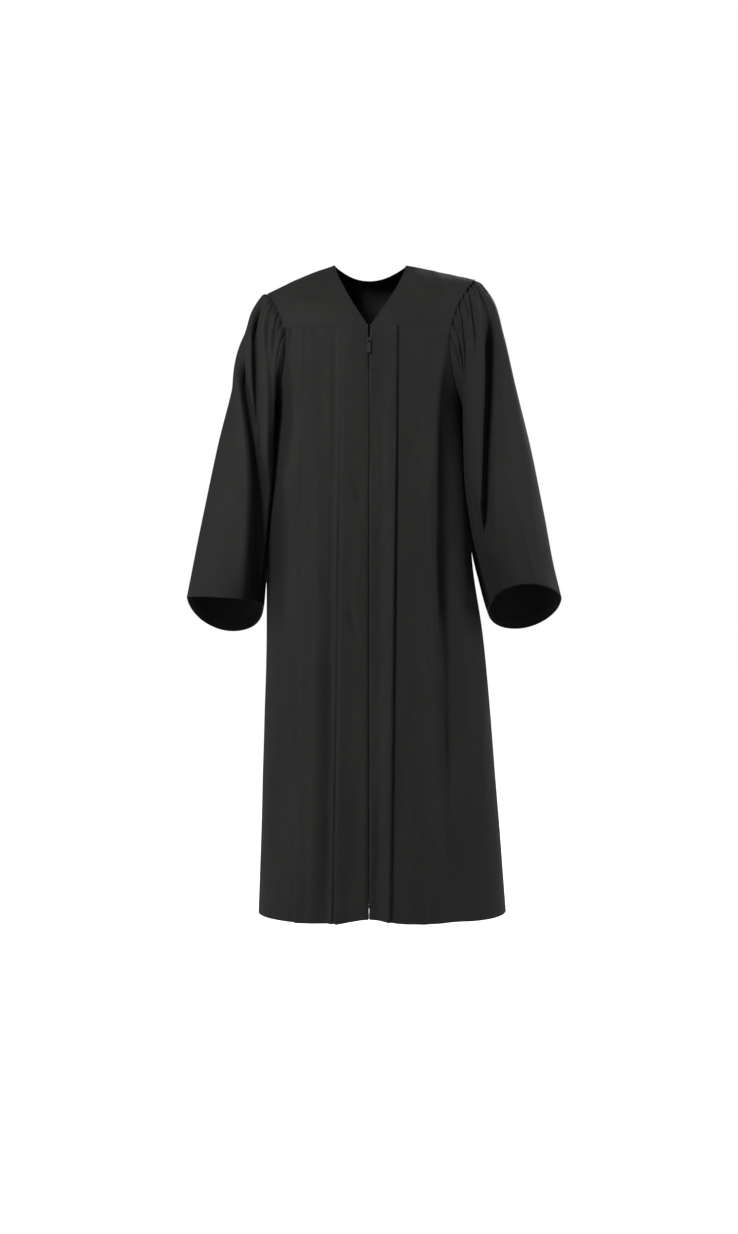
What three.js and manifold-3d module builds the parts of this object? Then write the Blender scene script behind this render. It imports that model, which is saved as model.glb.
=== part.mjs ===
// Graduation gown: yoked fronts and back, gathered bell sleeves and a zip down the front.
// Millimetres. +Z is up, the front faces -Y, and the origin lies in the neck opening,
// level with the highest points of the shoulders. Left and right are the wearer's: left is +X.
// Heights are given as "down", the distance below the origin.

import * as THREE from "three";
import { mergeVertices } from "three/addons/utils/BufferGeometryUtils.js";
import Module from "manifold-3d";

const wasm = await Module();
wasm.setup();

// Driving dimensions
const CLOTH = 1.6; // thickness of a cloth wall
const TAPE_CLOTH = 1.0; // thickness of the zip's tapes
const SEAM = 0.3; // gap that parts two pieces at a seam
const SIDE_SEAM = 0.5; // the same at the side seams, whose walls lean a little to each other
const SHOULDER_SEAM = 1.4; // the same on the shoulder line's ridge, where the inner faces lean together
const YOKE_DOWN = 127; // the front yoke seam, and the point of the V neck
const BACK_YOKE_DIP = 16; // the back yoke seam hangs this much lower at the centre
const GOWN_LENGTH = 1265; // shoulder to hem
const SIDE_Y = 10; // side seams, underarms and shoulder tips lie this far behind the origin
const FRONT_EDGE = 3; // each front edge stays this far from the zip's centre line
const SQUARENESS = 2.4; // the body's sections: 2 is an ellipse, more is squarer
const ARM_TURN = 62; // degrees that the chest has turned where it meets the armhole

// Neck: the V in front and the scoop behind
const NECK = { left: 73, right: 67, y: 12, backY: 88, backDown: 24, curve: 1.3, lean: 1.5 };

// Half widths and depths of the body, from the yoke seam to the hem
const BODY = [
  { down: 100, left: 186, right: 190, front: 118, back: 124 },
  { down: 127, left: 186, right: 190, front: 123, back: 129 },
  { down: 200, left: 186, right: 190, front: 133, back: 139 },
  { down: 300, left: 186, right: 190, front: 141, back: 146 },
  { down: 380, left: 191, right: 199, front: 146, back: 150 },
  { down: 500, left: 197, right: 201, front: 151, back: 156 },
  { down: 600, left: 204, right: 201, front: 155, back: 161 },
  { down: 720, left: 222, right: 201, front: 160, back: 168 },
  { down: 850, left: 235, right: 204, front: 166, back: 176 },
  { down: 1000, left: 247, right: 207, front: 173, back: 186 },
  { down: 1150, left: 259, right: 211, front: 179, back: 195 },
  { down: 1265, left: 268, right: 216, front: 183, back: 202 },
];

// Rows of cloth that the body panels are laid out on, below the yoke seam
const BODY_ROWS = [150, 180, 215, 250, 280, 300, 370, 470, 590, 720, 860, 1000, 1140, GOWN_LENGTH];

// Sleeve rings, from the armhole to the cuff. Each is an oval through an outer and an inner
// point, front and back depths from the side line; bow draws its front or back towards the
// centre; lift raises the front of the ring and drop lowers its back.
const RING_COLUMNS = [
  "run",
  "outerX",
  "outerDown",
  "innerX",
  "innerDown",
  "front",
  "back",
  "bowFront",
  "bowBack",
  "lift",
  "drop",
];
const ringTable = (rows) =>
  rows.map((values) => Object.fromEntries(RING_COLUMNS.map((column, i) => [column, values[i]])));
const SLEEVES = {
  left: ringTable([
    [0, 208, 29, 186, 300, 102, 90, 42, 20, 0, 0],
    [14, 221, 40, 192, 306, 104, 92, 40, 20, 0, 0],
    [50, 244, 74, 191, 326, 106, 96, 38, 19, 0, 0],
    [110, 262, 140, 184, 366, 109, 101, 37, 18, 2, 4],
    [210, 288, 250, 178, 424, 113, 109, 34, 16, 8, 14],
    [320, 318, 370, 180, 490, 117, 118, 30, 12, 16, 26],
    [430, 343, 490, 193, 560, 120, 126, 22, 8, 26, 38],
    [530, 361, 590, 212, 620, 123, 134, 14, 4, 35, 48],
    [600, 376, 658, 231, 672, 125, 140, 8, 0, 42, 54],
  ]),
  right: ringTable([
    [0, 198, 56, 190, 300, 102, 90, 32, 18, 0, 0],
    [14, 209, 62, 196, 306, 104, 92, 33, 18, 0, 0],
    [50, 229, 95, 195, 326, 106, 96, 34, 18, 0, 0],
    [110, 247, 152, 188, 366, 109, 101, 34, 17, 1, 4],
    [210, 270, 258, 181, 424, 113, 109, 32, 15, 2, 16],
    [320, 297, 375, 181, 490, 117, 118, 28, 12, 4, 30],
    [430, 322, 490, 185, 560, 120, 126, 20, 8, 6, 44],
    [530, 343, 590, 194, 620, 123, 134, 12, 4, 8, 56],
    [600, 356, 652, 204, 664, 125, 140, 8, 0, 9, 66],
  ]),
};
const SLEEVE_ROWS = [0, 14, 30, 56, 95, 150, 220, 300, 380, 460, 535, 600];
const BOW_BIAS = 0.3; // the bow is strongest above the middle of the armhole
const SLEEVE_SET = { top: 1.3, underarm: 2.6 }; // how far off the armhole edge the sleeve starts
const SLEEVE_CLEAR = 4; // middle of the sleeve's wall to middle of the body's wall
const SLEEVE_EASE = 6; // how softly the sleeve leaves the body's side

// Gathers of the sleeve cap: ripple is their height and puff lifts the whole cap
const GATHER_PITCH = 20; // degrees round the armhole from one gather to the next
const GATHER_REACH = 100; // degrees from the shoulder tip to the last gather
const CAP = [
  { run: 0, ripple: 1.4, puff: 0 },
  { run: 14, ripple: 2.8, puff: -1 },
  { run: 50, ripple: 3.6, puff: -2 },
  { run: 110, ripple: 2.4, puff: -1 },
  { run: 190, ripple: 0.8, puff: 0 },
  { run: 280, ripple: 0, puff: 0 },
];

// Folds down the sleeves: the crest's place round the ring in degrees (90 is the front, -90 the
// back), its drift by the cuff, its reach to each side, and its height at three places
const SLEEVE_FOLDS = {
  left: [
    { crest: 128, drift: -4, reach: 26, cap: -3, middle: -13, cuff: -4 },
    { crest: 78, drift: -14, reach: 34, cap: 1, middle: 4, cuff: 6 },
    { crest: -118, drift: 6, reach: 30, cap: -2, middle: -10, cuff: -7 },
    { crest: -64, drift: 10, reach: 34, cap: 1, middle: 5, cuff: 7 },
  ],
  right: [
    { crest: 122, drift: 0, reach: 28, cap: -2, middle: -8, cuff: -3 },
    { crest: 62, drift: -8, reach: 34, cap: 1, middle: 4, cuff: 4 },
    { crest: -112, drift: 4, reach: 30, cap: -2, middle: -11, cuff: -6 },
    { crest: -58, drift: 8, reach: 34, cap: 1, middle: 5, cuff: 6 },
  ],
};

// Pleats and folds of the body panels. The crest's distance from the centre line at the yoke,
// its drift by the hem, how far the fold reaches towards the centre (before) and towards the
// side (after), how much wider it is at the hem, and its height at the seam, waist and hem.
const FRONT_FOLDS = {
  left: [
    { crest: 53, drift: -15, before: 34, after: 8, spread: 0.65, seam: 3, waist: 8, hem: 8 },
    { crest: 113, drift: 20, before: 30, after: 9, spread: 1, seam: 3, waist: 6, hem: 4 },
    { crest: 138, drift: 40, before: 14, after: 26, spread: 1.6, seam: -1, waist: -14, hem: -6 },
  ],
  right: [
    { crest: 47, drift: 16, before: 28, after: 8, spread: 1, seam: 2, waist: 6, hem: 8 },
    { crest: 66, drift: 18, before: 10, after: 26, spread: 1.3, seam: -1, waist: -7, hem: -10 },
    { crest: 116, drift: 22, before: 20, after: 10, spread: 1.3, seam: 2, waist: 4, hem: 5 },
  ],
};
const BACK_FOLDS = {
  left: [
    { crest: 40, drift: 16, before: 24, after: 26, spread: 1.6, seam: 4, waist: 12, hem: 18 },
    { crest: 92, drift: 30, before: 24, after: 24, spread: 1.5, seam: -3, waist: -12, hem: -16 },
    { crest: 138, drift: 44, before: 22, after: 20, spread: 1.5, seam: 4, waist: 9, hem: 12 },
  ],
  right: [
    { crest: 34, drift: 8, before: 20, after: 24, spread: 1.6, seam: 4, waist: 11, hem: 16 },
    { crest: 84, drift: 16, before: 24, after: 26, spread: 1.5, seam: -3, waist: -13, hem: -17 },
    { crest: 136, drift: 24, before: 24, after: 22, spread: 1.4, seam: 4, waist: 9, hem: 13 },
  ],
};
const WAIST_DOWN = 640;
const YOKE_ROWS = 6; // rows of cloth that each yoke is laid out on

// How far the shoulder lines rise between the neck and the sleeve
const SHOULDER_RISE = { left: 0.5, right: 4 };

// How far the yokes rise over the shoulders between their edges. The back's is given from its
// armhole (0) past the neck's side (0.67) to its centre (1).
const FRONT_ROUND = 9;
const BACK_ROUND = [
  { share: 0, rise: 0 },
  { share: 0.34, rise: 22 },
  { share: 0.67, rise: 31 },
  { share: 0.84, rise: 19 },
  { share: 1, rise: 10 },
];

// Panels' columns and hem
const COLUMN_WIDE = 24; // the widest a column of cloth may be, but for the steps of the folds
const STEP_COLUMNS = 2; // least columns on each flank of a fold
const MARK_ROOM = 0.02; // least share of the half width between two marks of a panel's folds
const EDGE_PULL = 5; // how closely the pull of the armhole on the body keeps to its edge
const HEM_LIFT = 10; // the fronts' hem rises this much at the zip
const HEM_LIFT_REACH = 45; // distance from the zip over which it rises

// Zip
const ZIP = { start: 148, end: 1226, chainHalf: 2.6, chainThick: 2.4, tapeWide: 13 };
const TAPE_GAP = 0.45; // between a front's inner face and the tape behind it
const SLIDER = { down: 158, wide: 8.6, tall: 11.5, thick: 2.6, bridgeWide: 2, bridgeTall: 7.2 };
const PULL = { long: 24, wide: 6.6, thick: 1.2, eyeWide: 3.4, eyeLong: 5.6, bar: 0.7, rim: 0.3 };
const BAR_PLAY = 0.8; // room round the pull's bar inside the bridge's tunnel
const STOP = { wide: 5.4, tall: 7, thick: 3.2 };

const clothMaterial = new THREE.MeshStandardMaterial({ color: 0x1b1b1a, roughness: 0.82 });
const tapeMaterial = new THREE.MeshStandardMaterial({ color: 0x151515, roughness: 0.9 });
const zipMaterial = new THREE.MeshStandardMaterial({ color: 0x1a1a1b, roughness: 0.45 });
const pullMaterial = new THREE.MeshStandardMaterial({ color: 0x161616, roughness: 0.35, metalness: 0.6 });

const { lerp, clamp, degToRad, smoothstep } = THREE.MathUtils;

// A table's column at a place along it, on a smooth curve through the table's rows
function read(table, key, column, place) {
  const last = table.length - 1;
  let i = 0;
  while (i < last - 1 && place > table[i + 1][key]) i += 1;
  const start = table[i];
  const end = table[i + 1];
  const before = table[Math.max(i - 1, 0)];
  const after = table[Math.min(i + 2, last)];
  const span = end[key] - start[key];
  const t = clamp((place - start[key]) / span, 0, 1);
  const slopeIn = ((end[column] - before[column]) / (end[key] - before[key])) * span;
  const slopeOut = ((after[column] - start[column]) / (after[key] - start[key])) * span;
  const value = (2 * t ** 3 - 3 * t ** 2 + 1) * start[column] + (3 * t ** 2 - 2 * t ** 3) * end[column];
  return value + (t ** 3 - 2 * t ** 2 + t) * slopeIn + (t ** 3 - t ** 2) * slopeOut;
}

const sideName = (side) => (side > 0 ? "left" : "right");

// All columns of the sleeve table at one run from the armhole
function sleeveRing(side, run) {
  const table = SLEEVES[sideName(side)];
  return Object.fromEntries(RING_COLUMNS.map((column) => [column, read(table, "run", column, run)]));
}

// A point of a sleeve ring. Angle 0 is the shoulder side, 90 degrees the front, 180 the underarm.
function ringPoint(ring, side, angle) {
  const c = Math.cos(angle);
  const s = Math.sin(angle);
  const inFront = s >= 0;
  const bow = (inFront ? ring.bowFront : ring.bowBack) * s * s * (1 + BOW_BIAS * c);
  const x = lerp(ring.innerX, ring.outerX, (1 + c) / 2) - bow;
  const y = SIDE_Y - (inFront ? ring.front : ring.back) * s;
  const down = lerp(ring.innerDown, ring.outerDown, (1 + c) / 2) - (inFront ? ring.lift : ring.drop) * s;
  return new THREE.Vector3(side * x, y, -down);
}

// The angle round the armhole at which its front (half +1) or back (half -1) reaches a height
function armholeAngle(side, half, down) {
  const ring = SLEEVES[sideName(side)][0];
  const share = clamp((down - ring.outerDown) / (ring.innerDown - ring.outerDown), 0, 1);
  return half * Math.acos(1 - 2 * share);
}

// Outer edge of a body panel at a height: the armhole above the underarm, the side seam below
function panelEdge(side, half, down) {
  const armhole = SLEEVES[sideName(side)][0];
  const seamY = SIDE_Y - (half * SIDE_SEAM) / 2;
  if (down >= armhole.innerDown) {
    return { x: read(BODY, "down", sideName(side), down), y: seamY, turn: Math.PI / 2 };
  }
  const point = ringPoint(armhole, side, armholeAngle(side, half, down));
  const share = (armhole.innerDown - down) / (armhole.innerDown - YOKE_DOWN);
  const turn = degToRad(lerp(90, ARM_TURN, Math.min(share, 1)));
  return { x: side * point.x, y: point.y - (half * SIDE_SEAM) / 2, turn };
}

// Share of the way from centre to side at which a panel is a given distance from the centre line
function shareAt(side, half, distance, down) {
  const edge = panelEdge(side, half, down);
  const inner = half > 0 ? FRONT_EDGE : 0;
  const ratio = clamp((distance - inner) / (edge.x - inner), 0, 1);
  return Math.asin(ratio ** (SQUARENESS / 2) * Math.sin(edge.turn)) / edge.turn;
}

// Depth of the body's section at a distance from the centre line, as if it had no armholes
function sectionY(side, half, distance, down) {
  const inner = half > 0 ? FRONT_EDGE : 0;
  const reach = read(BODY, "down", sideName(side), down) - inner;
  const centreY = -half * read(BODY, "down", half > 0 ? "front" : "back", down);
  const ratio = clamp((distance - inner) / reach, 0, 1);
  return lerp(SIDE_Y - (half * SIDE_SEAM) / 2, centreY, (1 - ratio ** SQUARENESS) ** (1 / SQUARENESS));
}

// A point of the unpleated body: half is +1 in front, -1 behind, share 0 is the centre line.
// Towards the armhole the section is drawn out to meet it.
function plainPoint(side, half, share, down) {
  const edge = panelEdge(side, half, down);
  const inner = half > 0 ? FRONT_EDGE : 0;
  const kept = clamp(share, 0, 1);
  const across = (Math.sin(kept * edge.turn) / Math.sin(edge.turn)) ** (2 / SQUARENESS);
  const distance = lerp(inner, edge.x, across);
  const pull = (edge.y - sectionY(side, half, edge.x, down)) * kept ** EDGE_PULL;
  return new THREE.Vector3(side * distance, sectionY(side, half, distance, down) + pull, -down);
}

// Shares at which a panel's folds start, crest and end at a height, in order from the centre
function foldMarks(side, half, folds, down) {
  const t = clamp((down - YOKE_DOWN) / (GOWN_LENGTH - YOKE_DOWN), 0, 1);
  const marks = [];
  for (const fold of folds) {
    const widen = lerp(1, fold.spread, t);
    const crest = fold.crest + fold.drift * t;
    for (const distance of [crest - fold.before * widen, crest, crest + fold.after * widen]) {
      const least = (marks.at(-1) ?? 0) + MARK_ROOM;
      const most = 1 - (3 * folds.length - marks.length) * MARK_ROOM;
      marks.push(clamp(shareAt(side, half, distance, down), least, most));
    }
  }
  return marks;
}

// Height of all of a panel's folds at one place
function foldHeight(side, half, folds, share, down) {
  const marks = foldMarks(side, half, folds, down);
  let height = 0;
  folds.forEach((fold, i) => {
    const [start, crest, end] = marks.slice(3 * i, 3 * i + 3);
    const rise = share < crest ? smoothstep(share, start, crest) : 1 - smoothstep(share, crest, end);
    const upper = lerp(fold.seam, fold.waist, smoothstep(down, YOKE_DOWN, WAIST_DOWN));
    height += rise * lerp(upper, fold.hem, smoothstep(down, WAIST_DOWN, GOWN_LENGTH));
  });
  return height;
}

// A point of the pleated body, raised along the outward direction of its level section
function bodyPoint(side, half, folds, share, down) {
  const step = 0.01;
  const point = plainPoint(side, half, share, down);
  const ahead = plainPoint(side, half, Math.min(share + step, 1), down);
  const behind = plainPoint(side, half, Math.max(share - step, 0), down);
  const along = ahead.sub(behind).normalize();
  const outward = new THREE.Vector3(along.y, -along.x, 0).multiplyScalar(side * half);
  return point.addScaledVector(outward, foldHeight(side, half, folds, share, down));
}

// How many columns lie between each two marks of a panel
function columnCounts(side, half, folds) {
  const distances = [YOKE_DOWN, WAIST_DOWN, GOWN_LENGTH].map((down) => {
    const edge = panelEdge(side, half, down);
    const marks = [0, ...foldMarks(side, half, folds, down), 1];
    return marks.map((share) => Math.abs(plainPoint(side, half, share, down).x) + edge.x * share);
  });
  return distances[0].slice(1).map((_, i) => {
    const widest = Math.max(...distances.map((row) => row[i + 1] - row[i]));
    return Math.max(Math.ceil(widest / (2 * COLUMN_WIDE)), STEP_COLUMNS);
  });
}

// Shares of a panel's columns at a height, which keep to the marks of its folds all the way down
function columnShares(side, half, folds, counts, down) {
  const marks = [0, ...foldMarks(side, half, folds, down), 1];
  const between = counts.map((count, i) =>
    Array.from({ length: count }, (_, j) => lerp(marks[i], marks[i + 1], (j + 1) / count)),
  );
  return [0, ...between.flat()];
}

// Height of the yoke seam: level in front, dipping towards the centre behind
function seamDown(half, share) {
  return half > 0 ? YOKE_DOWN : YOKE_DOWN + BACK_YOKE_DIP * (1 - share * share);
}

// The hem is level, but for the fronts, which rise a little at the zip
function hemDown(half, distance) {
  const lift = half > 0 ? HEM_LIFT * Math.exp(-((distance / HEM_LIFT_REACH) ** 2)) : 0;
  return GOWN_LENGTH - lift;
}

// Rows of points of one half of a body panel, from the centre out to the side
function panelRows(side, half, folds) {
  const counts = columnCounts(side, half, folds);
  return [YOKE_DOWN, ...BODY_ROWS].map((rowDown) =>
    columnShares(side, half, folds, counts, rowDown).map((share) => {
      let down = rowDown;
      if (rowDown === YOKE_DOWN) down = seamDown(half, share) + SEAM / 2;
      if (rowDown === GOWN_LENGTH) down = hemDown(half, Math.abs(plainPoint(side, half, share, rowDown).x));
      return bodyPoint(side, half, folds, share, down);
    }),
  );
}

// A closed wall of even thickness round a grid of points, open at its edges or closed around.
// The end face of the row named in level is kept level, so that it meets its seam squarely.
function wall(rows, thickness, { closedAround = false, level = -1 } = {}) {
  const rowCount = rows.length;
  const columnCount = rows[0].length;
  const columnAt = (c) => (closedAround ? (c + columnCount) % columnCount : clamp(c, 0, columnCount - 1));
  const at = (r, c) => rows[r][columnAt(c)];
  const positions = [];
  for (const offset of [thickness / 2, -thickness / 2]) {
    for (let r = 0; r < rowCount; r += 1) {
      for (let c = 0; c < columnCount; c += 1) {
        const across = at(r, c + 1).clone().sub(at(r, c - 1));
        const down = at(Math.min(r + 1, rowCount - 1), c).clone().sub(at(Math.max(r - 1, 0), c));
        const normal = across.cross(down);
        if (r === level) normal.z = 0;
        normal.normalize();
        positions.push(...at(r, c).clone().addScaledVector(normal, offset).toArray());
      }
    }
  }
  const inner = rowCount * columnCount;
  const index = (r, c) => r * columnCount + (c % columnCount);
  const faces = [];
  const quad = (a, b, c, d) => faces.push(a, b, c, a, c, d);
  const lastColumn = closedAround ? columnCount : columnCount - 1;
  for (let r = 0; r < rowCount - 1; r += 1) {
    for (let c = 0; c < lastColumn; c += 1) {
      const corners = [index(r, c), index(r, c + 1), index(r + 1, c + 1), index(r + 1, c)];
      quad(...corners);
      quad(...corners.map((corner) => corner + inner).reverse());
    }
    if (!closedAround) {
      const last = columnCount - 1;
      quad(index(r, 0), index(r + 1, 0), index(r + 1, 0) + inner, index(r, 0) + inner);
      quad(index(r + 1, last), index(r, last), index(r, last) + inner, index(r + 1, last) + inner);
    }
  }
  for (let c = 0; c < lastColumn; c += 1) {
    const last = rowCount - 1;
    quad(index(0, c + 1), index(0, c), index(0, c) + inner, index(0, c + 1) + inner);
    quad(index(last, c), index(last, c + 1), index(last, c + 1) + inner, index(last, c) + inner);
  }
  const geometry = new THREE.BufferGeometry();
  geometry.setAttribute("position", new THREE.Float32BufferAttribute(positions, 3));
  geometry.setIndex(faces);
  return geometry;
}

// A patch between four edges: bottom and top run along u, sides first and last run along v.
// It rises between them by the height that rise gives, along the outward direction.
function patchRows({ bottom, top, first, last, rise, outward }, across, upward) {
  const rows = [];
  for (let j = upward; j >= 0; j -= 1) {
    const v = j / upward;
    const row = [];
    for (const u of across) {
      const point = bottom(u).clone().multiplyScalar(1 - v).addScaledVector(top(u), v);
      point.addScaledVector(first(v), 1 - u).addScaledVector(last(v), u);
      point.addScaledVector(bottom(0), -(1 - u) * (1 - v)).addScaledVector(bottom(1), -u * (1 - v));
      point.addScaledVector(top(0), -(1 - u) * v).addScaledVector(top(1), -u * v);
      row.push(point.addScaledVector(outward, rise(u) * Math.sin(Math.PI * v)));
    }
    rows.push(row);
  }
  return rows;
}

const evenSteps = (count) => Array.from({ length: count + 1 }, (_, i) => i / count);

// Highest point of the neck edge on one side
function neckPoint(side, half) {
  return new THREE.Vector3(side * NECK[sideName(side)], NECK.y - (half * SHOULDER_SEAM) / 2, 0);
}

// The shoulder line from the neck out to the sleeve
function shoulderPoint(side, half, u) {
  const tip = ringPoint(SLEEVES[sideName(side)][0], side, 0);
  tip.y -= (half * SHOULDER_SEAM) / 2;
  const point = neckPoint(side, half).lerp(tip, u);
  point.z += SHOULDER_RISE[sideName(side)] * Math.sin(Math.PI * u);
  return point;
}

// The armhole edge of a yoke, from its seam (v 0) up to the shoulder tip (v 1)
function yokeArmhole(side, half, v) {
  const seamAngle = armholeAngle(side, half, YOKE_DOWN - SEAM / 2);
  const point = ringPoint(SLEEVES[sideName(side)][0], side, seamAngle * (1 - v));
  point.y -= (half * lerp(SIDE_SEAM, SHOULDER_SEAM, v)) / 2;
  return point;
}

// The front neck edge, from the point of the V (v 0) up to the shoulder (v 1)
function neckEdge(side, v) {
  const start = plainPoint(side, 1, 0, YOKE_DOWN - SEAM / 2);
  const end = neckPoint(side, 1);
  const x = lerp(end.x, start.x, (1 - v) ** NECK.curve);
  return new THREE.Vector3(x, lerp(start.y, end.y, v ** NECK.lean), lerp(start.z, end.z, v));
}

function frontYoke(side) {
  const bottom = (u) => plainPoint(side, 1, u, YOKE_DOWN - SEAM / 2);
  const top = (u) => shoulderPoint(side, 1, u);
  const first = (v) => neckEdge(side, v);
  const last = (v) => yokeArmhole(side, 1, v);
  const rise = (u) => FRONT_ROUND * Math.sin(Math.PI * u);
  const outward = new THREE.Vector3(0, -0.7, 0.7);
  return patchRows({ bottom, top, first, last, rise, outward }, evenSteps(9), YOKE_ROWS);
}

// The back yoke runs from the right armhole (u 0) over the back neck to the left one (u 1)
function backYoke() {
  const neckFrom = 1 / 3;
  const neckTo = 2 / 3;
  const bottom = (u) => {
    const side = u < 0.5 ? -1 : 1;
    const share = Math.abs(2 * u - 1);
    return plainPoint(side, -1, share, seamDown(-1, share) - SEAM / 2);
  };
  const top = (u) => {
    if (u <= neckFrom) return shoulderPoint(-1, -1, 1 - u / neckFrom);
    if (u >= neckTo) return shoulderPoint(1, -1, (u - neckTo) / (1 - neckTo));
    const angle = ((u - neckFrom) / (neckTo - neckFrom)) * Math.PI;
    const side = angle < Math.PI / 2 ? -1 : 1;
    const x = Math.abs(Math.cos(angle)) * neckPoint(side, -1).x;
    const depth = NECK.backY - neckPoint(side, -1).y;
    const scoop = Math.sin(angle);
    return new THREE.Vector3(x, neckPoint(side, -1).y + depth * scoop, -NECK.backDown * scoop ** 2);
  };
  const first = (v) => yokeArmhole(-1, -1, v);
  const last = (v) => yokeArmhole(1, -1, v);
  const rise = (u) => read(BACK_ROUND, "share", "rise", 1 - Math.abs(2 * u - 1));
  const outward = new THREE.Vector3(0, 0.9, 0.45);
  return patchRows({ bottom, top, first, last, rise, outward }, evenSteps(24), YOKE_ROWS);
}

// Distance from the centre line to the side of the body at a depth and a height
function bodySideX(side, y, down) {
  const half = y < SIDE_Y ? 1 : -1;
  const power = 2 / SQUARENESS;
  const edge = panelEdge(side, half, down);
  const centreY = -half * read(BODY, "down", half > 0 ? "front" : "back", down);
  const fall = clamp((y - centreY) / (edge.y - centreY), 0, 1);
  const angle = Math.acos((1 - fall) ** (1 / power));
  return edge.x * Math.sin(angle) ** power;
}

const softMax = (a, b, ease) => (a + b + Math.hypot(a - b, ease)) / 2;

// Height of a sleeve's cap gathers and folds at a place round it and along it
function sleeveHeight(side, angle, run) {
  const degrees = THREE.MathUtils.radToDeg(angle);
  const near = 1 - smoothstep(Math.abs(degrees), GATHER_REACH - GATHER_PITCH, GATHER_REACH);
  const wave = Math.cos((degrees / GATHER_PITCH) * 2 * Math.PI);
  let height = near * (read(CAP, "run", "puff", run) + read(CAP, "run", "ripple", run) * wave);
  const length = SLEEVE_ROWS.at(-1);
  for (const fold of SLEEVE_FOLDS[sideName(side)]) {
    const away = Math.abs(degrees - fold.crest - (fold.drift * run) / length) / fold.reach;
    const upper = smoothstep(run, 0, 60) * lerp(fold.cap, fold.middle, smoothstep(run, 0, length / 2));
    height += (1 - smoothstep(away, 0, 1)) * lerp(upper, fold.cuff, smoothstep(run, length / 2, length));
  }
  return height;
}

// A point in the middle of a sleeve's wall
function sleevePoint(side, angle, run) {
  const ring = sleeveRing(side, run);
  const step = 0.03;
  const point = ringPoint(ring, side, angle);
  const around = ringPoint(ring, side, angle + step).sub(ringPoint(ring, side, angle - step));
  const nextRun = Math.min(run + 4, SLEEVE_ROWS.at(-1));
  const along = ringPoint(sleeveRing(side, nextRun), side, angle);
  along.sub(ringPoint(sleeveRing(side, nextRun - 4), side, angle));
  const outward = around.cross(along).normalize().multiplyScalar(side);
  point.addScaledVector(outward, sleeveHeight(side, angle, run));
  const low = ((1 - Math.cos(angle)) / 2) ** 3;
  point.x += side * lerp(SLEEVE_SET.top, SLEEVE_SET.underarm, low);
  const below = -point.z - SLEEVES[sideName(side)][0].innerDown;
  if (below > 0 && run > 0) {
    const clear = lerp(SLEEVE_SET.underarm, SLEEVE_CLEAR, smoothstep(below, 0, 40));
    const ease = SLEEVE_EASE * smoothstep(below, 0, 60);
    point.x = side * softMax(side * point.x, bodySideX(side, point.y, -point.z) + clear, ease);
  }
  return point;
}

// Angles round a sleeve: close together over the gathered cap, wider apart under the arm
function sleeveAngles() {
  const capStep = GATHER_PITCH / 4;
  const cap = evenSteps((2 * GATHER_REACH) / capStep).map((u) => lerp(-GATHER_REACH, GATHER_REACH, u));
  const underSpan = 360 - 2 * GATHER_REACH;
  const under = evenSteps(underSpan / 10).slice(1, -1).map((u) => GATHER_REACH + underSpan * u);
  return [...cap, ...under].map((degrees) => degToRad(degrees > 180 ? degrees - 360 : degrees));
}

function sleeveRows(side) {
  return SLEEVE_ROWS.map((run) => sleeveAngles().map((angle) => sleevePoint(side, angle, run)));
}

// A row of a panel's points at any height, on the straight lines between its own rows
function panelRowAt(rows, down) {
  let i = 0;
  while (i < rows.length - 2 && -rows[i + 1][0].z < down) i += 1;
  const t = (down + rows[i][0].z) / (rows[i][0].z - rows[i + 1][0].z);
  return rows[i].map((point, c) => point.clone().lerp(rows[i + 1][c], t));
}

const zipDowns = [ZIP.start, ...BODY_ROWS.filter((down) => down > ZIP.start && down < ZIP.end), ZIP.end];

// The chain fills the gap between the two front edges
function zipChainRows(frontRows) {
  return zipDowns.map((down) => {
    const edge = panelRowAt(frontRows, down)[0];
    return [-1, 1].map((side) => new THREE.Vector3(side * ZIP.chainHalf, edge.y, edge.z));
  });
}

// A tape lies on the inside of a front, made from the front's points moved in
function zipTapeRows(frontRows) {
  const inward = CLOTH / 2 + TAPE_GAP + TAPE_CLOTH / 2;
  return zipDowns.map((down) => {
    const [edge, next] = panelRowAt(frontRows, down);
    const outer = edge.clone().lerp(next, ZIP.tapeWide / edge.distanceTo(next));
    return [edge, outer].map((point) => new THREE.Vector3(point.x, point.y + inward, point.z));
  });
}

// The box that closes the chain's lower end, just below it
function zipStop(frontRows) {
  const down = ZIP.end + SEAM + STOP.tall / 2;
  const edge = panelRowAt(frontRows, down)[0];
  return new THREE.BoxGeometry(STOP.wide, STOP.thick, STOP.tall).translate(0, edge.y, edge.z);
}

function solidOf(geometry) {
  const bare = geometry.clone();
  bare.deleteAttribute("normal");
  bare.deleteAttribute("uv");
  const merged = mergeVertices(bare);
  const vertProperties = new Float32Array(merged.attributes.position.array);
  const triVerts = new Uint32Array(merged.index.array);
  return new wasm.Manifold(new wasm.Mesh({ numProp: 3, vertProperties, triVerts }));
}

function geometryOf(solid) {
  const mesh = solid.getMesh();
  const geometry = new THREE.BufferGeometry();
  geometry.setAttribute("position", new THREE.Float32BufferAttribute(mesh.vertProperties, 3));
  geometry.setIndex(Array.from(mesh.triVerts));
  return geometry;
}

// A plate cut from an outline in the X and Z directions, its back face at the given Y
function plate(shape, thickness, backY) {
  const options = { depth: thickness, bevelEnabled: false, curveSegments: 6 };
  const geometry = new THREE.ExtrudeGeometry(shape, options);
  return geometry.rotateX(Math.PI / 2).translate(0, backY, 0);
}

function roundedBar(wideTop, wideBottom, top, bottom) {
  const shape = new THREE.Shape();
  const topRadius = wideTop / 2;
  const bottomRadius = wideBottom / 2;
  shape.absarc(0, top - topRadius, topRadius, Math.PI, 0, true);
  shape.absarc(0, bottom + bottomRadius, bottomRadius, 0, -Math.PI, true);
  return shape;
}

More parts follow.
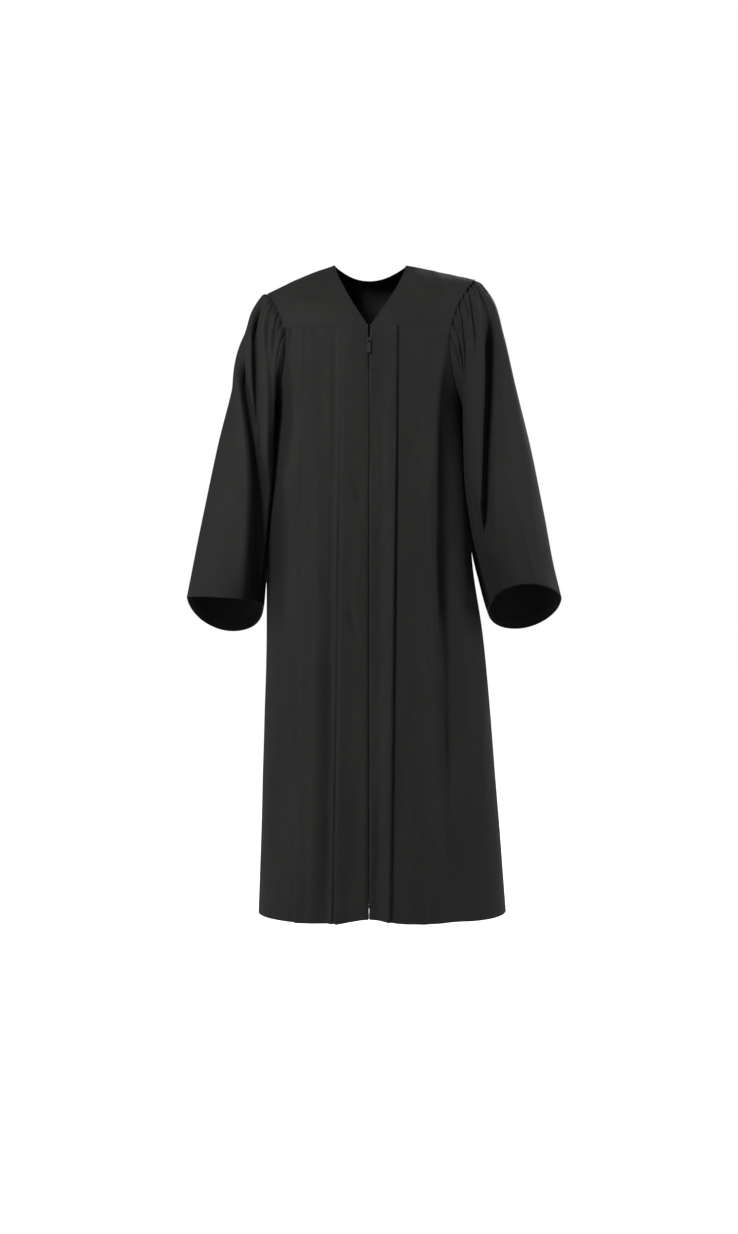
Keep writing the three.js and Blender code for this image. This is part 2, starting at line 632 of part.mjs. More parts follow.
// The slider in its own frame: its centre on the chain, -Y to the front, Z along the chain
const sliderFaceY = -(ZIP.chainThick / 2 + SEAM + SLIDER.thick);
const tunnelRadius = PULL.bar + BAR_PLAY;
const hingeY = sliderFaceY - tunnelRadius;
const hingeZ = 1.2;

function zipSlider() {
  const body = roundedBar(SLIDER.wide, SLIDER.wide * 0.7, SLIDER.tall / 2, -SLIDER.tall / 2);
  const bridge = new THREE.Shape();
  const halfTall = SLIDER.bridgeTall / 2;
  const rise = 2 * tunnelRadius + 1.1;
  bridge.moveTo(-halfTall, 0.4);
  bridge.lineTo(-halfTall + 0.8, -rise);
  bridge.lineTo(halfTall - 0.8, -rise);
  bridge.lineTo(halfTall, 0.4);
  bridge.closePath();
  const tunnel = new THREE.Path();
  tunnel.moveTo(-tunnelRadius, -2 * tunnelRadius);
  tunnel.lineTo(-tunnelRadius, 0);
  tunnel.lineTo(tunnelRadius, 0);
  tunnel.lineTo(tunnelRadius, -2 * tunnelRadius);
  tunnel.closePath();
  bridge.holes.push(tunnel);
  const arch = new THREE.ExtrudeGeometry(bridge, { depth: SLIDER.bridgeWide, bevelEnabled: false });
  arch.translate(0, 0, -SLIDER.bridgeWide / 2);
  arch.rotateY(-Math.PI / 2).translate(0, sliderFaceY, hingeZ);
  const base = plate(body, SLIDER.thick, sliderFaceY + SLIDER.thick);
  return geometryOf(solidOf(base).add(solidOf(arch)));
}

// The pull hangs from the bridge by the bar at the top of its eye
function zipPull() {
  const shape = roundedBar(PULL.wide * 0.86, PULL.wide, hingeZ + PULL.bar + PULL.rim, hingeZ - PULL.long);
  const eye = new THREE.Path();
  const top = hingeZ - PULL.bar;
  eye.moveTo(-PULL.eyeWide / 2, top);
  eye.lineTo(-PULL.eyeWide / 2, top - PULL.eyeLong);
  eye.lineTo(PULL.eyeWide / 2, top - PULL.eyeLong);
  eye.lineTo(PULL.eyeWide / 2, top);
  eye.closePath();
  shape.holes.push(eye);
  return plate(shape, PULL.thick, hingeY + PULL.thick / 2);
}

function named(name, geometry, material) {
  const mesh = new THREE.Mesh(geometry, material);
  mesh.name = name;
  return mesh;
}

const gown = new THREE.Group();
const fronts = {};
for (const side of [1, -1]) {
  const name = sideName(side);
  fronts[name] = panelRows(side, 1, FRONT_FOLDS[name]);
  gown.add(named(`front_yoke_${name}`, wall(frontYoke(side), CLOTH, { level: YOKE_ROWS }), clothMaterial));
  gown.add(named(`front_${name}`, wall(fronts[name], CLOTH, { level: 0 }), clothMaterial));
  gown.add(named(`sleeve_${name}`, wall(sleeveRows(side), CLOTH, { closedAround: true }), clothMaterial));
  gown.add(named(`zip_tape_${name}`, wall(zipTapeRows(fronts[name]), TAPE_CLOTH), tapeMaterial));
}
gown.add(named("back_yoke", wall(backYoke(), CLOTH, { level: YOKE_ROWS }), clothMaterial));

// The back is one panel: its right half, then its left half without the shared centre column
const rightHalf = panelRows(-1, -1, BACK_FOLDS.right);
const leftHalf = panelRows(1, -1, BACK_FOLDS.left);
const backRows = rightHalf.map((row, i) => [...row.slice().reverse(), ...leftHalf[i].slice(1)]);
gown.add(named("back", wall(backRows, CLOTH, { level: 0 }), clothMaterial));

gown.add(named("zip_chain", wall(zipChainRows(fronts.left), ZIP.chainThick), zipMaterial));
gown.add(named("zip_stop", zipStop(fronts.left), zipMaterial));

// Slider and pull lean with the chain where they sit
const above = panelRowAt(fronts.left, SLIDER.down - SLIDER.tall / 2)[0];
const below = panelRowAt(fronts.left, SLIDER.down + SLIDER.tall / 2)[0];
const slider = new THREE.Group();
slider.position.set(0, (above.y + below.y) / 2, -SLIDER.down);
slider.rotation.x = Math.atan2(below.y - above.y, above.z - below.z);
slider.add(named("zip_slider", zipSlider(), pullMaterial));
slider.add(named("zip_pull", zipPull(), pullMaterial));
gown.add(slider);

export default gown;
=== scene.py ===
# Graduation gown, dressed on its CAD frame. The cloth's form is worked out in millimetres below
# the shoulders, on the same body and sleeve tables as the solids, with its own tables for pleats,
# gathers and creases. Some of these folds are deeper than the solids'.
# Left and right are the wearer's: the left side is at +X, and the front faces -Y.

import math

import bpy
import numpy as np
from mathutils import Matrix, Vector


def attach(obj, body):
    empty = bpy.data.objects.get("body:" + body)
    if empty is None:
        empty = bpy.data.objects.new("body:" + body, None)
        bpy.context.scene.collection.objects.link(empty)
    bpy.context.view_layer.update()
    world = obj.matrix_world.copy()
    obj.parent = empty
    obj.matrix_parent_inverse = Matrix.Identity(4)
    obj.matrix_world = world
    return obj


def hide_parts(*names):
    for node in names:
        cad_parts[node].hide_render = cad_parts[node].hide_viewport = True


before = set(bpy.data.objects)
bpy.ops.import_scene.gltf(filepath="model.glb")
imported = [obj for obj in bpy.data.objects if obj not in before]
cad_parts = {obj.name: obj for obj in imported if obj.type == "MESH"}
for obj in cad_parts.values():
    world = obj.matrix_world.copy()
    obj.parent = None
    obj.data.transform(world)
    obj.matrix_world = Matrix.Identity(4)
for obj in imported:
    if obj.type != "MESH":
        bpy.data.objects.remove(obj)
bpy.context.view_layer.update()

MM = 0.001


def table(columns, rows):
    """A short table with named columns, as one array for each column."""
    return {name: np.array(values, float) for name, values in zip(columns.split(), zip(*rows))}


# Thickness of the cloth's shell, and how it turns in at seams and hems

CLOTH = 1.1
SEAM_ROLL = 0.9
SEAM_REACH = 2.2
HEM_FOLD = 1.3

# Sizes of the gown

YOKE_DOWN = 127
BACK_YOKE_DIP = 16
GOWN_LENGTH = 1265
SIDE_Y = 10
FRONT_EDGE = 2.0
SQUARENESS = 2.4
ARM_TURN = math.radians(62)
WAIST_DOWN = 640
ZIP_START = 148
ZIP_END = 1226
MARK_ROOM = 0.012
EDGE_PULL = 5
HEM_LIFT = 10
HEM_LIFT_REACH = 45
NECK = {"left": 73, "right": 67, "y": 12, "backY": 88, "backDown": 24, "curve": 1.3, "lean": 1.5}

BODY = table("down left right front back", [
    (100, 186, 190, 118, 124),
    (127, 186, 190, 123, 129),
    (200, 186, 190, 133, 139),
    (300, 186, 190, 141, 146),
    (380, 191, 199, 146, 150),
    (500, 197, 201, 151, 156),
    (600, 204, 201, 155, 161),
    (720, 222, 201, 160, 168),
    (850, 235, 204, 166, 176),
    (1000, 247, 207, 173, 186),
    (1150, 259, 211, 179, 195),
    (1265, 268, 216, 183, 202),
])

RING_COLUMNS = "run outerX outerDown innerX innerDown front back bowFront bowBack lift drop"
SLEEVES = {
    "left": table(RING_COLUMNS, [
        (0, 208, 29, 186, 300, 102, 90, 42, 20, 0, 0),
        (14, 221, 40, 192, 306, 104, 92, 40, 20, 0, 0),
        (50, 244, 74, 191, 326, 106, 96, 38, 19, 0, 0),
        (110, 262, 140, 184, 366, 109, 101, 37, 18, 2, 4),
        (210, 288, 250, 178, 424, 113, 109, 34, 16, 8, 14),
        (320, 318, 370, 180, 490, 117, 118, 30, 12, 16, 26),
        (430, 343, 490, 193, 560, 120, 126, 22, 8, 26, 38),
        (530, 361, 590, 212, 620, 123, 134, 14, 4, 35, 48),
        (600, 376, 658, 231, 672, 125, 140, 8, 0, 42, 54),
    ]),
    "right": table(RING_COLUMNS, [
        (0, 198, 56, 190, 300, 102, 90, 32, 18, 0, 0),
        (14, 209, 62, 196, 306, 104, 92, 33, 18, 0, 0),
        (50, 229, 95, 195, 326, 106, 96, 34, 18, 0, 0),
        (110, 247, 152, 188, 366, 109, 101, 34, 17, 1, 4),
        (210, 270, 258, 181, 424, 113, 109, 32, 15, 2, 16),
        (320, 297, 375, 181, 490, 117, 118, 28, 12, 4, 30),
        (430, 322, 490, 185, 560, 120, 126, 20, 8, 6, 44),
        (530, 343, 590, 194, 620, 123, 134, 12, 4, 8, 56),
        (600, 356, 652, 204, 664, 125, 140, 8, 0, 9, 66),
    ]),
}
SLEEVE_LENGTH = 600
BOW_BIAS = 0.3
SLEEVE_SET = {"top": 0.7, "underarm": 2.2}
SLEEVE_CLEAR = 3.6
SLEEVE_EASE = 6
# Seam allowance inside the armhole: distance back from the seam and depth inwards
SLEEVE_ALLOWANCE = ((9, 3.4), (6, 3.0), (3, 2.4), (1, 1.2))

# Pleats and folds of the panels: crest's distance from the centre line at the yoke, drift by the
# hem, reach towards the centre and the side, widening at the hem, height at seam, waist and hem
FRONT_FOLDS = {
    "left": [
        (53, -15, 34, 5, 0.65, 3, 8, 8),
        (92, 14, 22, 12, 1, 2, 5, 4),
        (146, 22, 38, 30, 1.3, 1, -32, -9),
    ],
    "right": [
        (47, 16, 28, 5, 1, 0.3, 1.6, 8),
        (64, 18, 11, 26, 1.3, -1, -7, -10),
        (116, 22, 20, 7, 1.3, 2, 4, 5),
    ],
}
BACK_FOLDS = {
    "left": [
        (40, 16, 24, 26, 1.6, 2, 12, 18),
        (92, 30, 24, 24, 1.5, -1, -12, -16),
        (138, 44, 22, 20, 1.5, 2, 9, 12),
    ],
    "right": [
        (34, 8, 20, 24, 1.6, 2, 11, 16),
        (84, 16, 24, 26, 1.5, -1, -13, -17),
        (136, 24, 24, 22, 1.4, 2, 9, 13),
    ],
}

# Small creases on the fronts, given one by one: from one point to another, as distance from the
# centre line and distance down, with width and height
FRONT_CREASES = {
    "left": [
        (24, 300, 30, 470, 5, -1.4),
        (66, 126, 70, 330, 7, -1.6),
        (80, 380, 76, 620, 16, 1.6),
        (113, 126, 116, 420, 6, -3.0),
        (86, 760, 96, 1180, 18, -2.2),
        (158, 830, 164, 1262, 10, -6.0),
        (22, 1000, 12, 1230, 6, -1.6),
        (120, 1000, 116, 1262, 20, 2.6),
        (206, 760, 226, 1262, 14, 3.2),
    ],
    "right": [
        (12, 474, 36, 420, 4, -3.6),
        (20, 462, 44, 408, 6, 2.0),
        (18, 730, 40, 670, 5, -3.2),
        (26, 560, 20, 760, 8, 1.6),
        (65, 127, 66, 420, 5, -1.8),
        (88, 140, 92, 640, 9, -2.0),
        (120, 330, 118, 640, 12, -2.4),
        (161, 120, 168, 205, 4, -6),
        (150, 124, 152, 170, 3, -3),
        (96, 690, 110, 1230, 24, 2.6),
        (70, 600, 80, 1262, 9, -3.0),
        (150, 620, 168, 1262, 18, -3.4),
        (186, 500, 190, 900, 12, -3.4),
        (186, 900, 198, 1262, 16, 3.0),
        (18, 900, 26, 1240, 9, -1.8),
    ],
}
BACK_CREASES = {
    "left": [
        (16, 300, 12, 700, 14, -2.4),
        (66, 420, 84, 1100, 12, 2.6),
        (150, 700, 176, 1262, 14, -4.0),
        (206, 800, 232, 1262, 14, 3.6),
    ],
    "right": [
        (12, 500, 20, 1100, 14, 2.2),
        (60, 330, 66, 900, 12, -2.6),
        (130, 800, 150, 1262, 14, 3.2),
        (180, 700, 194, 1262, 16, -3.6),
    ],
}

# Folds down the sleeves: their ends along the sleeve, four places round the ring in degrees
# (0 shoulder, 90 front, 180 underarm, -90 back) at even steps between them, how far they reach to
# lower and to higher degrees, how much wider the latter is at their lower end, and height
SLEEVE_CREASES = {
    "left": [
        (20, 480, 30, 57, 89, 122, 15, 4.5, 1.6, -36),
        (20, 330, 62, 84, 104, 122, 13, 12, 1.2, 6),
        (60, 600, 14, 26, 40, 60, 14, 13, 1.5, 5),
        (330, 640, 118, 126, 134, 140, 6, 8, 1.5, -9),
        (360, 640, 84, 92, 98, 104, 12, 10, 1.3, 4),
        (300, 640, 150, 156, 160, 164, 14, 14, 1.2, -8),
        (440, 620, 56, 62, 66, 70, 3.5, 4, 1.2, 2.2),
        (20, 260, -46, -60, -75, -90, 8, 12, 1.2, -10),
        (120, 560, -88, -108, -126, -146, 26, 12, 1.2, -20),
        (130, 600, -66, -80, -92, -104, 12, 22, 1.2, 8),
        (150, 640, -24, -32, -42, -50, 18, 18, 1.2, 5),
    ],
    "right": [
        (14, 262, 14, 39, 56, 75, 4.5, 8, 1.2, -26),
        (30, 300, 40, 70, 88, 104, 11, 11, 1.0, 7),
        (90, 660, -2, 72, 112, 134, 4.5, 7.5, 4.4, -35),
        (260, 660, 92, 118, 140, 156, 16, 24, 1.2, -20),
        (90, 640, -12, 54, 94, 120, 14, 6, 1.5, 8),
        (210, 640, 4, 10, 20, 40, 14, 16, 1.3, 3),
        (20, 260, -44, -58, -72, -86, 8, 12, 1.2, -10),
        (120, 560, -86, -106, -124, -142, 26, 12, 1.2, -20),
        (130, 600, -62, -76, -88, -100, 12, 22, 1.2, 8),
        (150, 640, -22, -30, -38, -46, 18, 18, 1.2, 5),
    ],
}

# Gathers of the sleeve caps: troughs at a place round the armhole in degrees, their lean by their
# end, length down the sleeve, width in degrees and depth
GATHERS = {
    "back": [
        (-97, -12, 70, 2.4, 3.5),
        (-86, -18, 130, 2.6, 5.5),
        (-72, -8, 60, 1.8, 5.0),
        (-64, -26, 150, 2.8, 6.5),
        (-50, -12, 70, 2.0, 5.0),
        (-41, -20, 120, 2.6, 7.0),
        (-30, -6, 50, 1.6, 4.5),
        (-22, -12, 140, 2.4, 6.5),
        (-9, 2, 60, 2.2, 5.5),
    ],
    "left": [
        (1, 8, 120, 2.4, 6.0),
        (9, 6, 40, 1.5, 4.5),
        (16, 22, 80, 2.0, 6.0),
        (25, 18, 45, 1.6, 6.0),
        (33, 40, 110, 2.2, 8.0),
        (41, 20, 50, 1.7, 7.0),
        (49, 50, 95, 2.4, 9.0),
        (59, 22, 45, 1.6, 6.5),
        (68, 44, 110, 2.2, 7.5),
        (84, 24, 70, 2.2, 4.5),
    ],
    "right": [
        (2, 8, 110, 2.4, 4.0),
        (10, 8, 45, 1.6, 4.5),
        (18, 16, 90, 2.0, 5.5),
        (27, 14, 50, 1.8, 6.0),
        (35, 34, 105, 2.3, 7.5),
        (43, 16, 50, 1.8, 7.5),
        (50, 30, 70, 2.4, 8.0),
        (61, 14, 40, 1.9, 5.0),
        (74, 16, 60, 2.2, 3.0),
    ],
}


# Curves

def read(rows, key, column, place):
    """A table's column at places along it, on a smooth curve through the table's rows."""
    at, value = rows[key], rows[column]
    place = np.asarray(place, float)
    last = len(at) - 1
    start = np.clip(np.searchsorted(at, place) - 1, 0, last - 1)
    end, before, after = start + 1, np.maximum(start - 1, 0), np.minimum(start + 2, last)
    span = at[end] - at[start]
    t = np.clip((place - at[start]) / span, 0, 1)
    slope_in = (value[end] - value[before]) / (at[end] - at[before]) * span
    slope_out = (value[after] - value[start]) / (at[after] - at[start]) * span
    held = (2 * t**3 - 3 * t**2 + 1) * value[start] + (3 * t**2 - 2 * t**3) * value[end]
    return held + (t**3 - 2 * t**2 + t) * slope_in + (t**3 - t**2) * slope_out


def smoothstep(low, high, value):
    t = np.clip((value - low) / (high - low), 0, 1)
    return t * t * (3 - 2 * t)


def lerp(a, b, t):
    return a + (b - a) * t


def stack(x, y, z):
    return np.stack(np.broadcast_arrays(x, y, z), axis=-1).astype(float)


def unit(vectors):
    return vectors / np.maximum(np.linalg.norm(vectors, axis=-1, keepdims=True), 1e-9)


def side_name(side):
    return "left" if side > 0 else "right"


def ripple(u, v, pitch_u, pitch_v, seed):
    """Smooth unevenness between about -1 and 1, from a few waves with seeded directions."""
    source = np.random.default_rng(seed)
    total = 0
    for _ in range(7):
        scale_u, scale_v = source.uniform(0.6, 1.7, 2)
        tilt = source.uniform(-0.35, 0.35)
        phase = source.uniform(0, 2 * math.pi)
        total = total + np.sin(2 * math.pi * (scale_u * u / pitch_u + (scale_v + tilt) * v / pitch_v) + phase)
    return total / 4


def crease_height(creases, x, down):
    """Sum of soft troughs and ridges, each along its own line and fading at both ends."""
    total = 0
    for x0, down0, x1, down1, wide, high in creases:
        long = abs(down1 - down0) + 1e-6
        t = (down - min(down0, down1)) / long
        start, end = (x0, x1) if down1 >= down0 else (x1, x0)
        line = lerp(start, end, np.clip(t, 0, 1))
        fade = smoothstep(-0.05, 0.28, t) * (1 - smoothstep(0.72, 1.05, t))
        total = total + high * fade * np.exp(-(((x - line) / wide) ** 2))
    return total


# Sleeve rings and the armhole

def sleeve_ring(side, run):
    rows = SLEEVES[side_name(side)]
    return {column: read(rows, "run", column, run) for column in rows if column != "run"}


def ring_point(ring, side, angle):
    c, s = np.cos(angle), np.sin(angle)
    in_front = s >= 0
    bow = np.where(in_front, ring["bowFront"], ring["bowBack"]) * s * s * (1 + BOW_BIAS * c)
    x = lerp(ring["innerX"], ring["outerX"], (1 + c) / 2) - bow
    y = SIDE_Y - np.where(in_front, ring["front"], ring["back"]) * s
    down = lerp(ring["innerDown"], ring["outerDown"], (1 + c) / 2)
    down = down - np.where(in_front, ring["lift"], ring["drop"]) * s
    return stack(side * x, y, -down)


def armhole(side):
    return {column: values[0] for column, values in SLEEVES[side_name(side)].items()}


def armhole_angle(side, half, down):
    ring = armhole(side)
    share = np.clip((down - ring["outerDown"]) / (ring["innerDown"] - ring["outerDown"]), 0, 1)
    return half * np.arccos(1 - 2 * share)


# The body's sections

def panel_edge(side, half, down):
    """Outer edge of a panel: the armhole above the underarm, the side seam below."""
    ring = armhole(side)
    down = np.asarray(down, float)
    point = ring_point(ring, side, armhole_angle(side, half, down))
    above = down < ring["innerDown"]
    x = np.where(above, side * point[..., 0], read(BODY, "down", side_name(side), down))
    y = np.where(above, point[..., 1], SIDE_Y)
    share = np.clip((ring["innerDown"] - down) / (ring["innerDown"] - YOKE_DOWN), 0, 1)
    return x, y, lerp(math.pi / 2, ARM_TURN, share)


# Half of the gap between the fronts: over the zip, where they meet, and what the small hole below
# the zip and the notch at the hem add to it
ZIP_EDGE = 0.8
SHUT_EDGE = 0.12
HOLE_EDGE = 1.5
HOLE_REACH = 2.4
NOTCH_EDGE = 0.9


def inner_edge(half, down=0):
    """The fronts part for the slider, nearly meet over the zip and close at its lower end."""
    if half < 0:
        return 0 * down
    down = np.asarray(down, float)
    edge = lerp(FRONT_EDGE, ZIP_EDGE, smoothstep(ZIP_START - 6, ZIP_START + 14, down))
    edge = lerp(edge, SHUT_EDGE, smoothstep(ZIP_END - 30, ZIP_END - 20, down))
    edge = edge + HOLE_EDGE * np.exp(-(((down - ZIP_END - 10) / HOLE_REACH) ** 2))
    return edge + NOTCH_EDGE * smoothstep(GOWN_LENGTH - 14, GOWN_LENGTH - 9, down)


def share_at(side, half, distance, down):
    x, _, turn = panel_edge(side, half, down)
    ratio = np.clip((distance - inner_edge(half, down)) / (x - inner_edge(half, down)), 0, 1)
    return np.arcsin(ratio ** (SQUARENESS / 2) * np.sin(turn)) / turn


def section_y(side, half, distance, down):
    """Depth of the body's section at a distance from the centre line, without armholes."""
    inner = inner_edge(half, down)
    reach = read(BODY, "down", side_name(side), down) - inner
    centre_y = -half * read(BODY, "down", "front" if half > 0 else "back", down)
    ratio = np.clip((distance - inner) / reach, 0, 1)
    return lerp(SIDE_Y, centre_y, (1 - ratio**SQUARENESS) ** (1 / SQUARENESS))


def plain_point(side, half, share, down):
    edge_x, edge_y, turn = panel_edge(side, half, down)
    kept = np.clip(share, 0, 1)
    across = (np.sin(kept * turn) / np.sin(turn)) ** (2 / SQUARENESS)
    distance = lerp(inner_edge(half, down), edge_x, across)
    pull = (edge_y - section_y(side, half, edge_x, down)) * kept**EDGE_PULL
    return stack(side * distance, section_y(side, half, distance, down) + pull, -down)


def hem_share(down):
    return np.clip((down - YOKE_DOWN) / (GOWN_LENGTH - YOKE_DOWN), 0, 1)


PLEAT_STEP = 12  # a fold that falls in less than this has a pressed, overhanging edge
PLEAT_LEAN = 5.5
PLEAT_GROOVE = 2.2


def fold_marks(side, half, folds, down):
    """Shares at which a panel's folds start, crest and end, in order from the centre."""
    t = hem_share(down)
    marks = []
    for crest, drift, before, after, spread, *_ in folds:
        widen = lerp(1, spread, t)
        line = crest + drift * t
        for distance in (line - before * widen, line, line + after * widen):
            least = (marks[-1] if marks else 0 * t) + MARK_ROOM
            most = 1 - (3 * len(folds) - len(marks)) * MARK_ROOM
            marks.append(np.minimum(np.maximum(share_at(side, half, distance, down), least), most))
    return marks


def fold_height(side, half, folds, share, down):
    """Height of the pleats, and how far each sharp edge overhangs towards the side, in mm."""
    marks = fold_marks(side, half, folds, down)
    total, lean = 0 * share, 0 * share
    for i, fold in enumerate(folds):
        start, crest, end = marks[3 * i:3 * i + 3]
        seam, waist, hem = fold[5:]
        rise = np.where(share < crest, smoothstep(start, crest, share), 1 - smoothstep(crest, end, share))
        upper = lerp(seam, waist, smoothstep(YOKE_DOWN, WAIST_DOWN, down))
        high = lerp(upper, hem, smoothstep(WAIST_DOWN, GOWN_LENGTH, down))
        total = total + rise * high
        if fold[3] < PLEAT_STEP:
            t = np.clip((share - crest) / (end - crest), 0, 1)
            past = np.clip((share - crest) / (0.6 * (end - crest)), -1, 3)
            lean = lean - PLEAT_LEAN * np.sin(math.pi * t) * smoothstep(0, 3, high)
            groove = np.exp(-(((past - 1.7) / 0.75) ** 2))
            total = total - PLEAT_GROOVE * groove * smoothstep(0, 3, high)
            total = total + 0.8 * np.exp(-(((past + 0.1) / 0.5) ** 2)) * smoothstep(0, 3, high)
    return total, lean


def body_point(side, half, share, down):
    """The middle of a body panel's cloth, with its pleats, creases and turned-in seams."""
    name = side_name(side)
    folds = (FRONT_FOLDS if half > 0 else BACK_FOLDS)[name]
    creases = (FRONT_CREASES if half > 0 else BACK_CREASES)[name]
    share, down = np.broadcast_arrays(np.asarray(share, float), np.asarray(down, float))
    point = plain_point(side, half, share, down)
    step = 0.01
    along = plain_point(side, half, np.minimum(share + step, 1), down)
    along = along - plain_point(side, half, np.maximum(share - step, 0), down)
    along = unit(along)
    outward = stack(along[..., 1], -along[..., 0], np.zeros_like(share)) * side * half
    x = np.abs(point[..., 0])
    height, lean = fold_height(side, half, folds, share, down)
    height = height + crease_height(creases, x, down)
    edge_x, _, _ = panel_edge(side, half, down)
    from_side = (1 - share) * edge_x * 1.35
    settle = smoothstep(YOKE_DOWN, YOKE_DOWN + 90, down) * smoothstep(0, 40, from_side)
    uneven = 1.0 * ripple(x, down, 95, 620, 11 + side + 3 * half) + 0.25 * ripple(x, down, 34, 150, 31 + side)
    height = height + settle * uneven
    height = height + turned_edges([from_side])
    top = seam_down(half, share) if half < 0 else YOKE_DOWN
    height = height - 1.6 * (1 - smoothstep(0, 9, down - top))
    return point + outward * height[..., None] + along * lean[..., None]


def seam_down(half, share):
    return YOKE_DOWN + (0 if half > 0 else BACK_YOKE_DIP) * (1 - share**2)


# Meshes of cloth

def grid_normals(rows, closed=False):
    """Normals of a grid of points, to the side that its rows and columns give."""
    if closed:
        across = np.roll(rows, -1, axis=1) - np.roll(rows, 1, axis=1)
    else:
        across = np.gradient(rows, axis=1)
    return unit(np.cross(across, np.gradient(rows, axis=0)))


def outward(rows, closed=False, hub=None):
    """Normals of a grid of points, facing away from the hub or from each row's middle."""
    normal = grid_normals(rows, closed)
    middle = rows.mean(axis=1, keepdims=True) if hub is None else np.array(hub, float)
    away = ((rows - middle) * normal).sum(axis=-1).mean()
    return normal * (1 if away > 0 else -1)


def wall(name, rows, thickness=CLOTH, closed=False, hub=None, hem=0):
    """A closed shell round a grid of points, in metres, thicker where its hem is turned in."""
    rows = np.asarray(rows)
    row_count, column_count = rows.shape[:2]
    normal = outward(rows, closed, hub)
    facing = (grid_normals(rows, closed) * normal).sum() > 0
    below = np.linalg.norm(np.diff(rows, axis=0), axis=2).mean(axis=1)[::-1].cumsum()[::-1]
    below = np.append(below, 0)[:, None, None]
    folded = HEM_FOLD * (1 - smoothstep(hem - 1.5, hem, below)) if hem else 0
    outer = rows + normal * thickness / 2
    inner_face = rows - normal * (thickness / 2 + folded)
    points = np.concatenate([outer, inner_face] if facing else [inner_face, outer])
    vertices = points.reshape(-1, 3) * MM
    inner = row_count * column_count
    index = np.arange(inner).reshape(row_count, column_count)
    right = np.roll(index, -1, axis=1) if closed else index[:, 1:]
    left = index if closed else index[:, :-1]
    quads = np.stack([left[:-1], right[:-1], right[1:], left[1:]], axis=-1).reshape(-1, 4)
    faces = [quads, quads[:, ::-1] + inner]
    top = np.stack([right[0], left[0], left[0] + inner, right[0] + inner], axis=-1)
    bottom = np.stack([left[-1], right[-1], right[-1] + inner, left[-1] + inner], axis=-1)
    faces += [top, bottom]
    if not closed:
        near, far = index[:, 0], index[:, -1]
        first = np.stack([near[:-1], near[1:], near[1:] + inner, near[:-1] + inner], axis=-1)
        last = np.stack([far[1:], far[:-1], far[:-1] + inner, far[1:] + inner], axis=-1)
        faces += [first, last]
    faces = np.concatenate(faces)
    mesh = bpy.data.meshes.new(name)
    mesh.from_pydata(vertices.tolist(), [], faces.tolist())
    lay_uv(mesh, rows, inner)
    mesh.polygons.foreach_set("use_smooth", [True] * len(mesh.polygons))
    mesh.update()
    piece = bpy.data.objects.new(name, mesh)
    bpy.context.scene.collection.objects.link(piece)
    return piece


def lay_uv(mesh, rows, inner):
    """UV along the cloth: u round or across it, v down it, both in metres."""
    middle = rows[rows.shape[0] // 2]
    u = np.concatenate([[0], np.cumsum(np.linalg.norm(np.diff(middle, axis=0), axis=1))]) * MM
    steps = np.linalg.norm(np.diff(rows, axis=0), axis=2).mean(axis=1)
    v = np.concatenate([[0], np.cumsum(steps)]) * MM
    coordinates = np.stack(np.meshgrid(u, v), axis=-1).reshape(-1, 2)
    corners = np.empty(len(mesh.loops), dtype=int)
    mesh.loops.foreach_get("vertex_index", corners)
    layer = mesh.uv_layers.new(name="cloth")
    layer.data.foreach_set("uv", coordinates[corners % inner].ravel())


def fine_rows(top, bottom, longest=7.0, edge=1.0):
    """Heights from top to bottom, close together near both ends."""
    near = np.array([0, 0.6, 1.2, 2, 3, 4.5, 6.5, 9]) * edge
    middle_count = int((bottom - top - 2 * near[-1]) / longest)
    middle = np.linspace(top + near[-1], bottom - near[-1], middle_count + 1)[1:-1]
    return np.concatenate([top + near, middle, (bottom - near)[::-1]])


def hem_down(half, distance):
    """The hem is level but for the fronts, which rise a little towards the zip."""
    lift = HEM_LIFT * np.exp(-((distance / HEM_LIFT_REACH) ** 2)) if half > 0 else 0 * distance
    return GOWN_LENGTH - lift


def panel_grid(side, half):
    """Columns keep to the folds' marks all the way down, and lie close together on their steps."""
    folds = (FRONT_FOLDS if half > 0 else BACK_FOLDS)[side_name(side)]
    downs = np.array([YOKE_DOWN, 300, WAIST_DOWN, GOWN_LENGTH], float)
    edge = panel_edge(side, half, downs)[0]
    marks = [0 * downs, *fold_marks(side, half, folds, downs), 0 * downs + 1]
    marks = [*marks[:-1], 0 * downs + 0.985, marks[-1]]
    widths = [float(((b - a) * edge * 1.3).max()) for a, b in zip(marks[:-1], marks[1:])]
    counts = [max(6, math.ceil(wide / 4.2)) for wide in widths]
    rows = []
    for level in fine_rows(0, 1, longest=0.0058, edge=0.0009):
        down = lerp(YOKE_DOWN - 2, GOWN_LENGTH, level)
        at = [0.0, *(float(m) for m in fold_marks(side, half, folds, down)), 0.985, 1.0]
        share = np.concatenate(
            [[0.0]] + [np.linspace(a, b, n + 1)[1:] for a, b, n in zip(at[:-1], at[1:], counts)]
        )
        top = seam_down(half, share) - 2
        at_hem = plain_point(side, half, share, np.full_like(share, GOWN_LENGTH))
        bottom = hem_down(half, np.abs(at_hem[..., 0]))
        rows.append(body_point(side, half, share, lerp(top, bottom, level)))
    return np.array(rows)


# Yokes

def neck_point(side):
    return np.array([side * NECK[side_name(side)], NECK["y"], 0.0])


def shoulder_point(side, u):
    tip = ring_point(armhole(side), side, np.array(0.0))
    u = np.asarray(u)[..., None]
    line = lerp(neck_point(side), tip, u)
    line[..., 2] += SHOULDER_RISE[side_name(side)] * np.sin(math.pi * u[..., 0])
    return line


def yoke_armhole(side, half, v):
    return ring_point(armhole(side), side, armhole_angle(side, half, YOKE_DOWN) * (1 - v))


def neck_edge(side, v):
    start = plain_point(side, 1, np.array(0.0), np.array(float(YOKE_DOWN)))
    end = neck_point(side)
    x = lerp(end[0], start[0], (1 - v) ** NECK["curve"])
    return stack(x, lerp(start[1], end[1], v ** NECK["lean"]), lerp(start[2], end[2], v))


